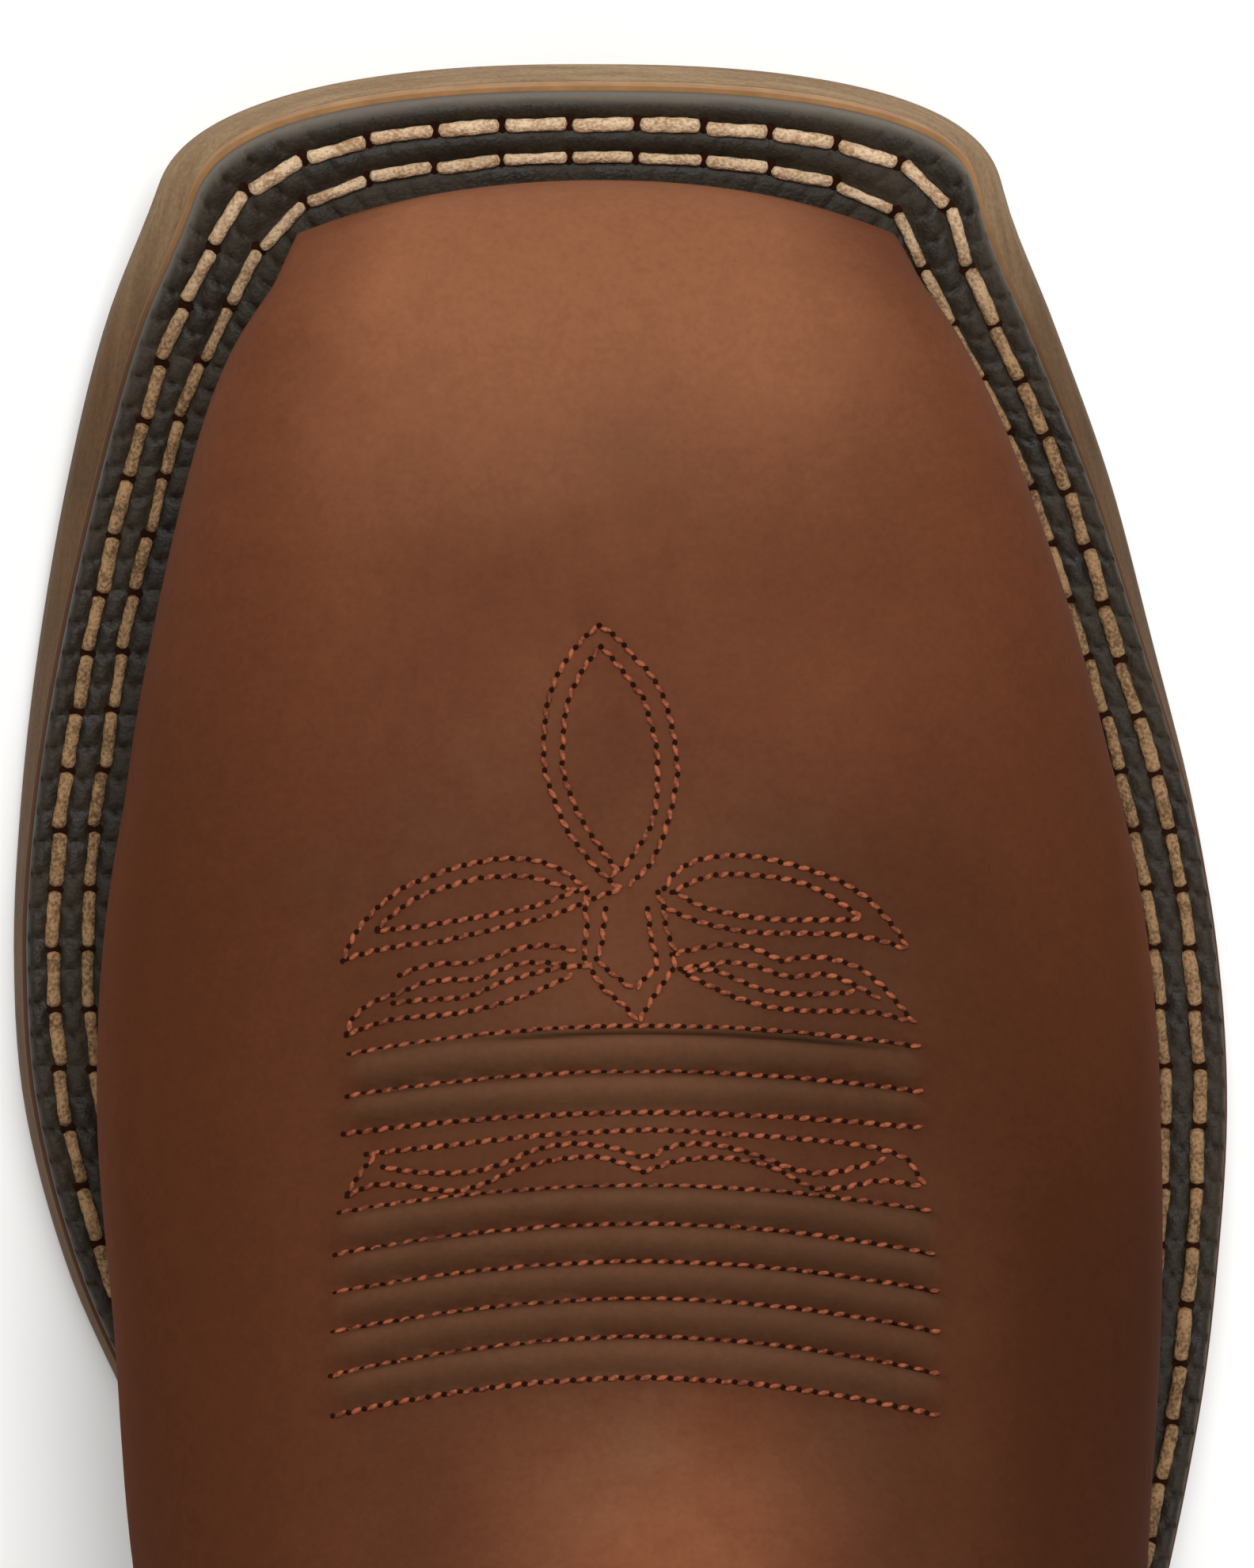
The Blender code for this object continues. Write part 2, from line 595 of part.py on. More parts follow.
def grid_solid(name, rows, first_closed, inner, material):
    """Closed wall between an outer grid and an inner grid of the same rows.

    Rows from first_closed on are rings. A grid without rings has one rim all round.
    """
    width = len(rows[0])
    size = len(rows) * width
    verts = [p for row in rows for p in row] + [p for row in inner for p in row]
    faces = []
    for r in range(len(rows) - 1):
        for c in range(width - 1):
            a, b = r * width + c, (r + 1) * width + c
            quad = (a, a + 1, b + 1, b) if c < width // 2 else (a + 1, b + 1, b, a)
            for face in (quad[:3], (quad[0], quad[2], quad[3])):  # the same in every layer
                faces.append(face)
                faces.append(tuple(size + i for i in reversed(face)))
    feet = min(first_closed, len(rows) - 1)
    rim = [(0, c) for c in range(width)]
    rim += [(r, width - 1) for r in range(1, feet + 1)]
    collar = [(len(rows) - 1, c) for c in range(width)]
    if first_closed < len(rows):
        rim += [(r, 0) for r in range(feet - 1, -1, -1)]
    else:
        rim += collar[-2::-1] + [(r, 0) for r in range(feet - 1, -1, -1)]
        collar = []
    for edge in (rim, collar):
        for (r0, c0), (r1, c1) in zip(edge, edge[1:]):
            a, b = r0 * width + c0, r1 * width + c1
            faces.append((a, b, size + b, size + a))
    return add_object(name, verts, faces, material, LEATHER_SHARP)


def offset_rows(rows, first_closed, distance):
    """Rows moved along their normals, outwards if distance is above 0. The rims stay level."""
    width = len(rows[0])
    grid = np.array([[tuple(p) for p in row] for row in rows])
    down = np.gradient(grid, axis=0)
    across = np.gradient(grid, axis=1)
    closed = grid[first_closed:]
    wrap = (closed[:, 1] - closed[:, -2]) / 2
    across[first_closed:, 0] = across[first_closed:, -1] = wrap
    seam = (down[first_closed:, 0] + down[first_closed:, -1]) / 2
    down[first_closed:, 0] = down[first_closed:, -1] = seam
    normal = np.cross(down, across)
    normal /= np.linalg.norm(normal, axis=2)[:, :, None]
    moved = grid + normal * distance
    moved[-1, :, 2] = grid[-1, :, 2]
    rim = feather_rims()[0]
    rim_y, rim_z = [p.y for p in rim], [p.z for p in rim]
    feet = [(0, c) for c in range(width)]
    feet += [(r, c) for r in range(1, first_closed + 1) for c in (0, width - 1)]
    for r, c in feet:
        moved[r, c, 2] = float(np.interp(moved[r, c, 1], rim_y, rim_z))
    return [[Vector(p) for p in row] for row in moved]


def build_upper(rows, first_closed):
    inner = offset_rows(rows, first_closed, -WALL)
    return grid_solid("upper", rows, first_closed, inner, make_material("upper_leather"))


def build_counter(rows, first_closed):
    """Overlay round the heel: a shell from the upper's own rows, cut to the counter's edge."""
    under = offset_rows(rows, first_closed, COUNTER_GAP)
    over = offset_rows(rows, first_closed, COUNTER_GAP + COUNTER_THICK)
    first = next(r for r, row in enumerate(rows) if row[0].y / LENGTH + 0.5 > COUNTER_ROWS)
    last = first_closed + COUNTER_CLOSED_ROWS
    counter = grid_solid("heel_counter", over[first:last], first_closed - first,
                         under[first:last], make_material("counter_leather"))
    seat = HEEL_HEIGHT + SEAT
    shares = np.linspace(COUNTER_EDGE[0][0], COUNTER_EDGE[-1][0], COUNTER_STEPS + 1)
    edge = [(s * LENGTH, seat + through(COUNTER_EDGE, 1, s) * INSTEP_HEIGHT) for s in shares]
    outline = edge + [(edge[-1][0], edge[0][1])]
    count = len(outline)
    verts = [place(s, x, z) for x in (-BALL_WIDTH, BALL_WIDTH) for s, z in outline]
    faces = [tuple(range(count)), tuple(range(count, 2 * count))]
    faces += [(i, (i + 1) % count, (i + 1) % count + count, i + count) for i in range(count)]
    cutter = add_object("counter_cutter", verts, faces, None)
    cutter.hide_render = True
    cutter.display_type = "WIRE"
    modifier = counter.modifiers.new("edge", "BOOLEAN")
    modifier.operation = "INTERSECT"
    modifier.solver = "EXACT"
    modifier.object = cutter
    return counter


def wall_tree(rows):
    """Search tree over a grid of rows, to find the wall's x at a given y and z."""
    width = len(rows[0])
    verts = [p for row in rows for p in row]
    faces = [
        (r * width + c, r * width + c + 1, (r + 1) * width + c + 1, (r + 1) * width + c)
        for r in range(len(rows) - 1) for c in range(width - 1)
    ]
    return BVHTree.FromPolygons(verts, faces)


def build_strap(name, rows, first_closed, side):
    """Pull strap over the collar. side is 1 for the medial side and -1 for the lateral."""
    outer_wall = wall_tree(rows[first_closed:])
    inner_wall = wall_tree(offset_rows(rows, first_closed, -WALL)[first_closed:])
    collar = [p for p in rows[-1] if (p.x - HEEL_AXIS) * side > 0]
    collar.sort(key=lambda p: p.y)
    middle = (collar[0].y + collar[-1].y) / 2

    def wall_x(tree, y, z):
        """From the middle of the shaft outwards to the wall."""
        hit = tree.ray_cast(Vector((HEEL_AXIS, y, z)), Vector((side, 0.0, 0.0)))[0]
        return hit.x

    layers = []
    for thick in (0.0, STRAP_THICK):
        lines = []
        for step in range(STRAP_ACROSS + 1):
            y = middle + STRAP_WIDTH * (step / STRAP_ACROSS - 0.5)
            top = float(np.interp(y, [p.y for p in collar], [p.z for p in collar]))
            turn = top - STRAP_TURN
            legs = [turn - (STRAP_DROP - STRAP_TURN) * k / STRAP_LEG for k in range(STRAP_LEG + 1)]
            clear = FIT_GAP + thick
            outside = [Vector((wall_x(outer_wall, y, z) + side * clear, y, z)) for z in legs]
            inside = [Vector((wall_x(inner_wall, y, z) - side * clear, y, z)) for z in legs]
            middle_x = (outside[0].x + inside[0].x) / 2
            reach = outside[0].x - middle_x
            height = STRAP_TURN + STRAP_STAND + thick
            arch = []
            for k in range(1, STRAP_ARCH):
                angle = math.pi * k / STRAP_ARCH
                x = middle_x + reach * math.cos(angle)
                arch.append(Vector((x, y, turn + height * math.sin(angle))))
            lines.append(outside[::-1] + arch + inside)
        layers.append(lines)
    return grid_solid(name, layers[1], len(layers[1]), layers[0], make_material("strap_leather"))


def clear_scene():
    for obj in list(bpy.data.objects):
        bpy.data.objects.remove(obj)


def main():
    clear_scene()
    build_outsole()
    build_midsole()
    build_welt()
    build_insole()
    build_heel()
    rows, first_closed = upper_rows()
    build_upper(rows, first_closed)
    build_counter(rows, first_closed)
    build_strap("pull_strap_medial", rows, first_closed, 1)
    build_strap("pull_strap_lateral", rows, first_closed, -1)


main()
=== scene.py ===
# %% [markdown]
# # A western work boot seen from above its toe
#
# The CAD model gives the true sizes. This lesson dresses it: a smooth leather upper with a
# stitched toe medallion, a ribbed welt with two rows of thick thread, a tan rubber sole, a
# stacked heel, a lined shaft and its pull straps. The toe points to -Y, the wearer's left,
# the medial side, is +X, and every size is in metres.

import math
import random

import bpy
import numpy as np
from mathutils import Matrix, Vector
from mathutils.bvhtree import BVHTree


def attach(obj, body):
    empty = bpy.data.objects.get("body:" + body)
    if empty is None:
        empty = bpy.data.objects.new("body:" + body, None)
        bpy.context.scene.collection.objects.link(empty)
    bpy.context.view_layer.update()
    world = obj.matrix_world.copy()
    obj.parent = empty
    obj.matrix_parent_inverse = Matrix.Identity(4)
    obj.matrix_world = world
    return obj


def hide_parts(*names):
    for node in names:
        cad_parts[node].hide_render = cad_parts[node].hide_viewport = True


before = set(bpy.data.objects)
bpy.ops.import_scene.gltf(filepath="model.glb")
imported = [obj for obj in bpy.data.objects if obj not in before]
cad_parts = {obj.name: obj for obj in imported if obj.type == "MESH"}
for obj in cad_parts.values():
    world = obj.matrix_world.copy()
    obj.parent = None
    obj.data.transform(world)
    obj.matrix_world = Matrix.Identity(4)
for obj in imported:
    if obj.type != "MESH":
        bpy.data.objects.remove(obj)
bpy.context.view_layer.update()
random.seed(11)
scene = bpy.context.scene
print("CAD nodes:", sorted(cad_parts))

# %% [markdown]
# ## The boot's own sizes
#
# A shoemaker works from a last: a length, a ball width, a heel height and a few curves.
# The same named sizes and short tables that shape the CAD model are repeated here, because
# this script reads nothing but the frame. Here they are sampled more finely, so that the
# leather comes out smooth where the CAD model has flat facets.

# %% Sizes of the sole and the upper
LENGTH = 0.305
HALF_BALL = 0.0595
TOE_SPRING, TREAD_START = 0.011, 0.085
WAIST_START, BREAST, HEEL_RISE = 0.132, 0.232, 0.030
OUTSOLE_THICK, MIDSOLE_THICK, WELT_THICK = 0.0075, 0.0022, 0.0032
FIT_GAP = 0.0003
STACK = OUTSOLE_THICK + MIDSOLE_THICK + WELT_THICK + 2 * FIT_GAP
SEAT = STACK + FIT_GAP
WALL, INSTEP_RISE, SHAFT_HEIGHT = 0.0022, 0.100, 0.306
HEEL_AXIS, TOE_AXIS = 0.0025, 0.0030

SOLE_OUTLINE = (
    # station, medial, lateral: shares of LENGTH and of HALF_BALL
    (0.000, 0.706, 0.597),
    (0.039, 0.766, 0.620),
    (0.082, 0.850, 0.708),
    (0.131, 0.911, 0.802),
    (0.184, 0.958, 0.877),
    (0.233, 0.987, 0.941),
    (0.285, 1.000, 0.985),
    (0.334, 0.982, 1.000),
    (0.387, 0.909, 0.983),
    (0.436, 0.797, 0.951),
    (0.492, 0.681, 0.887),
    (0.557, 0.588, 0.787),
    (0.623, 0.558, 0.697),
    (0.689, 0.571, 0.639),
    (0.770, 0.625, 0.602),
    (0.859, 0.677, 0.593),
    (1.000, 0.697, 0.588),
)
FOOT_SECTIONS = (
    # base, ridge, rise, ridge_x, medial, lateral, belly, round, bow
    (0.0400, 0.0405, 0.128, 0.050, 0.535, 0.412, 0.50, 3.2, 0.0155),
    (0.0500, 0.0407, 0.165, 0.050, 0.545, 0.418, 0.50, 3.1, 0.0150),
    (0.0620, 0.0450, 0.218, 0.048, 0.563, 0.434, 0.49, 3.0, 0.0142),
    (0.0760, 0.0545, 0.256, 0.046, 0.588, 0.460, 0.47, 2.9, 0.0125),
    (0.0950, 0.0742, 0.290, 0.042, 0.634, 0.520, 0.43, 2.85, 0.0093),
    (0.1220, 0.1040, 0.313, 0.037, 0.687, 0.590, 0.40, 2.75, 0.0060),
    (0.1700, 0.1560, 0.339, 0.029, 0.748, 0.683, 0.37, 2.6, 0.0025),
    (0.2230, 0.2130, 0.378, 0.022, 0.810, 0.761, 0.35, 2.45, 0.0005),
    (0.2800, 0.2730, 0.442, 0.020, 0.860, 0.819, 0.34, 2.35, 0.0),
    (0.3395, 0.3330, 0.522, 0.021, 0.872, 0.840, 0.34, 2.25, 0.0),
    (0.4030, 0.3950, 0.622, 0.026, 0.847, 0.834, 0.35, 2.15, 0.0),
    (0.4760, 0.4560, 0.742, 0.034, 0.822, 0.802, 0.38, 2.05, 0.0),
    (0.5650, 0.5090, 0.890, 0.039, 0.765, 0.765, 0.42, 2.05, 0.0),
    (0.6760, 0.5470, 1.063, 0.042, 0.728, 0.720, 0.46, 2.10, 0.0),
    (0.7990, 0.5670, 1.228, 0.042, 0.716, 0.682, 0.48, 2.15, 0.0),
    (0.9030, 0.5750, 1.372, 0.042, 0.714, 0.666, 0.48, 2.15, 0.0),
    (0.9630, 0.5772, 1.497, 0.042, 0.718, 0.662, 0.48, 2.15, 0.0),
    (0.9860, 0.5774, 1.580, 0.042, 0.720, 0.662, 0.48, 2.15, 0.0),
)
SHAFT_SECTIONS = (
    # row, back, back_z, front, front_z, medial, lateral, belly, round
    (0, 0.9880, 0.000, 0.5773, 0.497, 0.722, 0.663, 0.48, 2.15),
    (1, 0.9915, 0.040, 0.5770, 0.524, 0.724, 0.664, 0.48, 2.15),
    (2, 0.9930, 0.085, 0.5766, 0.554, 0.726, 0.666, 0.48, 2.15),
    (3, 0.9915, 0.135, 0.5760, 0.587, 0.728, 0.667, 0.48, 2.15),
    (4, 0.9875, 0.190, 0.5750, 0.622, 0.729, 0.668, 0.49, 2.15),
    (5, 0.9820, 0.250, 0.5738, 0.659, 0.731, 0.669, 0.49, 2.15),
    (6, 0.9770, 0.315, 0.5720, 0.698, 0.734, 0.671, 0.49, 2.15),
    (7, 0.9735, 0.385, 0.5698, 0.738, 0.738, 0.675, 0.50, 2.2),
    (8, 0.9725, 0.460, 0.5670, 0.779, 0.744, 0.680, 0.50, 2.2),
    (9, 0.9740, 0.540, 0.5635, 0.820, 0.750, 0.686, 0.50, 2.2),
    (10, 0.9780, 0.625, 0.5590, 0.861, 0.758, 0.693, 0.50, 2.2),
    (11, 0.9825, 0.715, 0.5540, 0.901, 0.766, 0.701, 0.50, 2.25),
    (12, 0.9870, 0.810, 0.5485, 0.939, 0.774, 0.709, 0.50, 2.25),
    (13, 0.9905, 0.905, 0.5435, 0.972, 0.781, 0.716, 0.50, 2.25),
    (14, 0.9930, 1.000, 0.5400, 1.000, 0.786, 0.721, 0.50, 2.3),
)


def smoothstep(share):
    share = np.clip(share, 0.0, 1.0)
    return share * share * (3 - 2 * share)


def through(table, column, at):
    """Smooth curve through one column of a table whose first column is the position."""
    xs = [row[0] for row in table]
    ys = [row[column] for row in table]
    at = min(max(at, xs[0]), xs[-1])
    i = min(max(int(np.searchsorted(xs, at)) - 1, 0), len(xs) - 2)

    def slope(k):
        low, high = max(k - 1, 0), min(k + 1, len(xs) - 1)
        return (ys[high] - ys[low]) / (xs[high] - xs[low])

    step = xs[i + 1] - xs[i]
    t = (at - xs[i]) / step
    rise = ys[i + 1] - ys[i]
    start, end = slope(i) * step, slope(i + 1) * step
    return ys[i] + t * (start + t * (3 * rise - 2 * start - end + t * (start + end - 2 * rise)))


def tread_height(station):
    """Underside of the outsole above the floor."""
    spring = TOE_SPRING * np.clip(1 - np.maximum(station, 0) / TREAD_START, 0, None) ** 2
    return spring + HEEL_RISE * smoothstep((station - WAIST_START) / (BREAST - WAIST_START))


def toe_lean(station):
    """How far the sole leans back for each metre up, where the toe springs from the floor."""
    share = np.clip(1 - np.maximum(station, 0) / TREAD_START, 0, None)
    return 2 * TOE_SPRING / TREAD_START * share


def on_sole(loop, height):
    """Points (station, x) of an outline, at a height above the underside of the outsole."""
    station, x = np.asarray(loop, float).T
    y = station + height * toe_lean(station) - LENGTH / 2
    return np.column_stack((x, y, tread_height(station) + height))


def run_along(line):
    """Distance of each point of a line from its first, along the line."""
    return np.concatenate(([0], np.cumsum(np.linalg.norm(np.diff(line, axis=0), axis=1))))


def resample(line, count, run=None):
    """The ends of count even steps along a line."""
    run = run_along(line) if run is None else run
    at = np.linspace(0, run[-1], count + 1)
    return np.column_stack([np.interp(at, run, line[:, k]) for k in range(line.shape[1])])


print("sole thickness under the upper, mm:", round(SEAT * 1000, 1))

# %% [markdown]
# ## The outline of the sole
#
# Every layer of the sole is the same outline, moved in by a few millimetres: the rubber
# sticks out furthest, then the welt, then the line where the leather starts. One function
# gives them all, with the same number of points, so any two can be joined point by point.

# %% Outline of the sole
TOE_CAP, TOE_POWER = 0.012, 2.4
HEEL_CAP, HEEL_POWER = 0.038, 2.1
TOE_BLEND, HEEL_BLEND = 0.040, 0.060
CAP_STEPS, SIDE_STEPS = 42, 110
LEDGE_TIP, LEDGE_CORNER, LEDGE_BALL = 0.0007, 0.0030, 0.0011
MIDSOLE_PROUD = 0.0004
WELT_WIDTH, WELT_HEEL, WELT_UNDER = 0.0084, 0.0026, 0.0060


def sole_loop(depth=lambda station: 0.0):
    """Outline of the outsole as a closed loop of (station, x), moved in by depth(station)."""
    rungs = []

    def add(station, cap, axis):
        share = station / LENGTH
        medial = HALF_BALL * through(SOLE_OUTLINE, 1, share) - depth(station)
        lateral = depth(station) - HALF_BALL * through(SOLE_OUTLINE, 2, share)
        toward = depth(0.0) * (1 - smoothstep(station / TOE_BLEND))
        toward -= depth(LENGTH) * (1 - smoothstep((LENGTH - station) / HEEL_BLEND))
        sides = [axis + (side - axis) * cap for side in (medial, lateral)]
        rungs.append((station + toward, *sides))

    def corner(step, power):
        angle = math.pi / 2 * step / CAP_STEPS
        return 1 - max(math.cos(angle), 0.0) ** (2 / power), math.sin(angle) ** (2 / power)

    for step in range(CAP_STEPS + 1):
        along, cap = corner(step, TOE_POWER)
        add(TOE_CAP * along, cap, TOE_AXIS)
    first, last = TOE_CAP, LENGTH - HEEL_CAP
    for step in range(1, SIDE_STEPS):
        add(first + (last - first) * step / SIDE_STEPS, 1.0, 0.0)
    for step in range(CAP_STEPS, -1, -1):
        along, cap = corner(step, HEEL_POWER)
        add(LENGTH - HEEL_CAP * along, cap, HEEL_AXIS)
    medial_side = [(station, medial) for station, medial, _ in rungs]
    lateral_side = [(station, lateral) for station, _, lateral in rungs[1:-1]]
    return np.array(medial_side + lateral_side[::-1])


def ledge(station):
    """How far the outsole stands out beyond the welt."""
    tip = smoothstep(station / TOE_CAP)
    back = smoothstep((station - 2 * TOE_CAP) / (TREAD_START - 2 * TOE_CAP))
    side = LEDGE_CORNER + (LEDGE_BALL - LEDGE_CORNER) * back
    return LEDGE_TIP + (side - LEDGE_TIP) * tip


def welt_show(station):
    """Width of the welt outside the upper."""
    back = smoothstep((station - WAIST_START) / (BREAST - WAIST_START))
    return WELT_WIDTH + (WELT_HEEL - WELT_WIDTH) * back


def feather_depth(station):
    return ledge(station) + welt_show(station)


print("outline points:", len(sole_loop()))

# %% [markdown]
# ## The camera
#
# The photograph looks straight down on the toe, from a little over a metre, with a long
# lens and a hair towards the medial side. The camera is made first, because the medallion
# is laid out as it is seen: a point of the pattern is sent down onto the leather.

# %% Camera
IMAGE_W, IMAGE_H = 1584, 1980
SENSOR = 36.0
CAMERA_AWAY = 1.30
CAMERA_ROLL = math.radians(3.3)
LENS = 308.8
camera_data = bpy.data.cameras.new("camera")
camera_data.lens = LENS
camera_data.sensor_width = SENSOR
camera_data.clip_start = 0.05
camera = bpy.data.objects.new("camera", camera_data)
scene.collection.objects.link(camera)
scene.camera = camera
BACK = Vector((math.sin(CAMERA_ROLL), 0.0, math.cos(CAMERA_ROLL)))
UP = Vector((0.0, -1.0, 0.0))
RIGHT = UP.cross(BACK)
AIM = Vector((0.0005, -0.0822, 0.020))
EYE = AIM + BACK * CAMERA_AWAY
turned = Matrix((RIGHT, UP, BACK)).transposed().to_4x4()
camera.matrix_world = Matrix.Translation(EYE) @ turned
PIXEL = SENSOR / IMAGE_H / LENS  # size of a pixel, a metre away


def sight(px, py):
    """Direction from the camera through a point of the photograph's frame."""
    right, up = (px - IMAGE_W / 2) * PIXEL, (IMAGE_H / 2 - py) * PIXEL
    return (RIGHT * right + UP * up - BACK).normalized()


def seen_at(points):
    """Where points of the boot are seen, in the photograph's frame."""
    away = np.asarray(points) - np.array(EYE)
    depth = -away @ np.array(BACK)
    px = IMAGE_W / 2 + away @ np.array(RIGHT) / depth / PIXEL
    py = IMAGE_H / 2 - away @ np.array(UP) / depth / PIXEL
    return px, py


print("camera at", [round(c, 3) for c in EYE])

# %% [markdown]
# ## Helpers for shaping
#
# Most pieces here are sheets: a grid primitive is added, its vertices are moved to where
# the boot's functions say, doubled edges are merged, and a Solidify modifier gives it a
# wall. Small repeats, the stitches, are copies of one primitive, joined into one mesh.

# %% Shaping helpers


def pick(*pieces):
    """Selects these pieces alone, with the first as the active one, or nothing at all."""
    bpy.ops.object.select_all(action="DESELECT")
    for piece in pieces:
        piece.select_set(True)
        bpy.context.view_layer.objects.active = pieces[0]


def finish_piece(piece, node=None, material=None, angle=40):
    """Shades the piece, gives it its material, and ties it to the CAD model."""
    pick(piece)
    bpy.ops.object.shade_smooth_by_angle(angle=math.radians(angle))
    if material:
        piece.data.materials.clear()
        piece.data.materials.append(material)
    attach(piece, "root")
    if node:
        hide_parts(*([node] if isinstance(node, str) else node))
    print(piece.name, "faces:", len(piece.data.polygons))


def grid_sheet(name, rows):
    """A grid primitive whose vertices are moved to rows, an array of points by row."""
    rows = np.asarray(rows, float)
    count, width = rows.shape[:2]
    pick()
    bpy.ops.mesh.primitive_grid_add(x_subdivisions=width - 1, y_subdivisions=count - 1, size=1)
    piece = bpy.context.object
    piece.name = piece.data.name = name
    piece.data.vertices.foreach_set("co", rows.reshape(-1))
    piece.data.update()
    return piece


def edit(piece, *steps):
    """Runs edit mode steps on all of a piece."""
    pick(piece)
    bpy.ops.object.mode_set(mode="EDIT")
    bpy.ops.mesh.select_all(action="SELECT")
    for step in steps:
        step()
    bpy.ops.object.mode_set(mode="OBJECT")


def merge(distance=1e-6):
    return lambda: bpy.ops.mesh.remove_doubles(threshold=distance)


def outward():
    bpy.ops.mesh.normals_make_consistent(inside=False)


def join(name, pieces):
    pick(*pieces)
    bpy.ops.object.join()
    pieces[0].name = pieces[0].data.name = name
    return pieces[0]


def apply_modifier(piece, kind, **settings):
    modifier = piece.modifiers.new(kind.lower(), kind)
    for key, value in settings.items():
        setattr(modifier, key, value)
    pick(piece)
    bpy.ops.object.modifier_apply(modifier=modifier.name)


def slab(name, rings, across=10):
    """A closed solid from rings, bottom to top, closed across by a sheet at both ends."""
    rings = [np.asarray(ring) for ring in rings]
    walls = grid_sheet(name, [np.vstack((ring, ring[:1])) for ring in rings])
    half = len(rings[0]) // 2
    share = np.linspace(0, 1, across + 1)[:, None]
    ends = []
    for ring in (rings[0], rings[-1]):
        lateral = np.vstack((ring[:1], ring[half:][::-1]))
        across_rows = [m + (k - m) * share for m, k in zip(ring[: half + 1], lateral)]
        ends.append(grid_sheet(name, across_rows))
    piece = join(name, [walls, *ends])
    edit(piece, merge(), outward)
    return piece


def closed_block(name, rings):
    """A closed solid from rings, with one flat face over each end."""
    rings = [np.asarray(ring) for ring in rings]
    piece = grid_sheet(name, [np.vstack((ring, ring[:1])) for ring in rings])

    def close_ends():
        bpy.ops.mesh.select_all(action="DESELECT")
        bpy.ops.mesh.select_non_manifold()
        bpy.ops.mesh.edge_face_add()
        bpy.ops.mesh.select_all(action="SELECT")

    edit(piece, merge(), close_ends, outward)
    return piece


def paint_points(piece, name, values):
    """A value for every point of a piece, for its material to read."""
    attribute = piece.data.attributes.new(name, "FLOAT", "POINT")
    attribute.data.foreach_set("value", np.asarray(values, np.float32))


def template(name, add, scale):
    """The shape of one small repeat: its vertices and faces, from a primitive."""
    pick()
    add()
    piece = bpy.context.object
    points = np.array([v.co[:] for v in piece.data.vertices]) * scale
    faces = [tuple(p.vertices) for p in piece.data.polygons]
    bpy.data.objects.remove(piece)
    return points, faces


def scatter(name, shapes, faces, places):
    """Copies of small shapes in turn, one for each (centre, along, up, scale), as one mesh."""
    verts, polys = [], []
    for centre, along, up, scale in places:
        points = shapes[len(verts) % len(shapes)]
        along = np.asarray(along) / np.linalg.norm(along)
        side = np.cross(up, along)
        side /= np.linalg.norm(side)
        axes = np.array((along, side, np.cross(along, side)))
        start = len(verts) * len(points)
        verts.append(np.asarray(centre) + (points * scale) @ axes)
        polys += [tuple(start + i for i in face) for face in faces]
    mesh = bpy.data.meshes.new(name)
    mesh.from_pydata(np.vstack(verts), [], polys)
    piece = bpy.data.objects.new(name, mesh)
    scene.collection.objects.link(piece)
    return piece


print("helpers ready")

# %% [markdown]
# ## Sums in a shader
#
# Leather, rubber and thread are told apart by colour, gloss and a fine relief. Each finish is
# a recipe that takes the position on the boot and returns what the shader should vary. The
# small class lets a recipe reckon with shader values as with plain Python numbers.

# %% Shader values
RGBA = {"data_type": "RGBA"}


def socket_of(sockets, key):
    """A socket by its number, its identifier or its name."""
    if isinstance(key, int):
        return sockets[key]
    return next(s for s in sockets if key in (s.identifier, s.name))


class Paint:
    """A value in a material that can be added, multiplied and mixed."""

    def __init__(self, tree, socket):
        self.tree, self.socket = tree, socket

    def node(self, kind, settings=None, inputs=None, output=0):
        """Any node, in this value's material: its settings first, then its inputs."""
        made = self.tree.nodes.new(kind)
        for name, value in (settings or {}).items():
            setattr(made, name, value)
        for key, value in (inputs or {}).items():
            socket = socket_of(made.inputs, key)
            if isinstance(value, Paint):
                self.tree.links.new(value.socket, socket)
            else:
                socket.default_value = value
        return Paint(self.tree, socket_of(made.outputs, output))

    def maths(self, operation, *values):
        return self.node("ShaderNodeMath", {"operation": operation}, dict(enumerate(values)))

    def __add__(self, other):
        return self.maths("ADD", self, other)

    def __sub__(self, other):
        return self.maths("SUBTRACT", self, other)

    def __rsub__(self, other):
        return self.maths("SUBTRACT", other, self)

    def __mul__(self, other):
        return self.maths("MULTIPLY", self, other)

    __radd__, __rmul__ = __add__, __mul__

    def ramp(self, low, high, start=0.0, end=1.0):
        """Smooth step of this value from low to high, running from start to end."""
        inputs = dict(enumerate((self, low, high, start, end)))
        return self.node("ShaderNodeMapRange", {"interpolation_type": "SMOOTHSTEP"}, inputs)

    def mix(self, none, full):
        """Colour none where this value is 0, colour full where it is 1."""
        inputs = {"Factor_Float": self, "A_Color": none, "B_Color": full}
        return self.node("ShaderNodeMix", RGBA, inputs, "Result_Color")

    def dim(self, share):
        """This colour, darkened or lightened by a share."""
        return self.node("ShaderNodeVectorMath", {"operation": "SCALE"}, {0: self, "Scale": share})

    def noise(self, scale, detail=2.0, roughness=0.5):
        """Soft noise around this position; scale is in lumps per metre."""
        inputs = {"Scale": scale, "Detail": detail, "Roughness": roughness}
        return self.node("ShaderNodeTexNoise", {}, {"Vector": self, **inputs})

    def stretched(self, x, y, z):
        inputs = {0: self, 1: (x, y, z)}
        return self.node("ShaderNodeVectorMath", {"operation": "MULTIPLY"}, inputs)

    def axis(self, name):
        return self.node("ShaderNodeSeparateXYZ", {}, {0: self}, name)

    def painted(self, name):
        """A value painted on the mesh, point by point."""
        settings = {"attribute_name": name, "attribute_type": "GEOMETRY"}
        return self.node("ShaderNodeAttribute", settings, {}, "Fac")


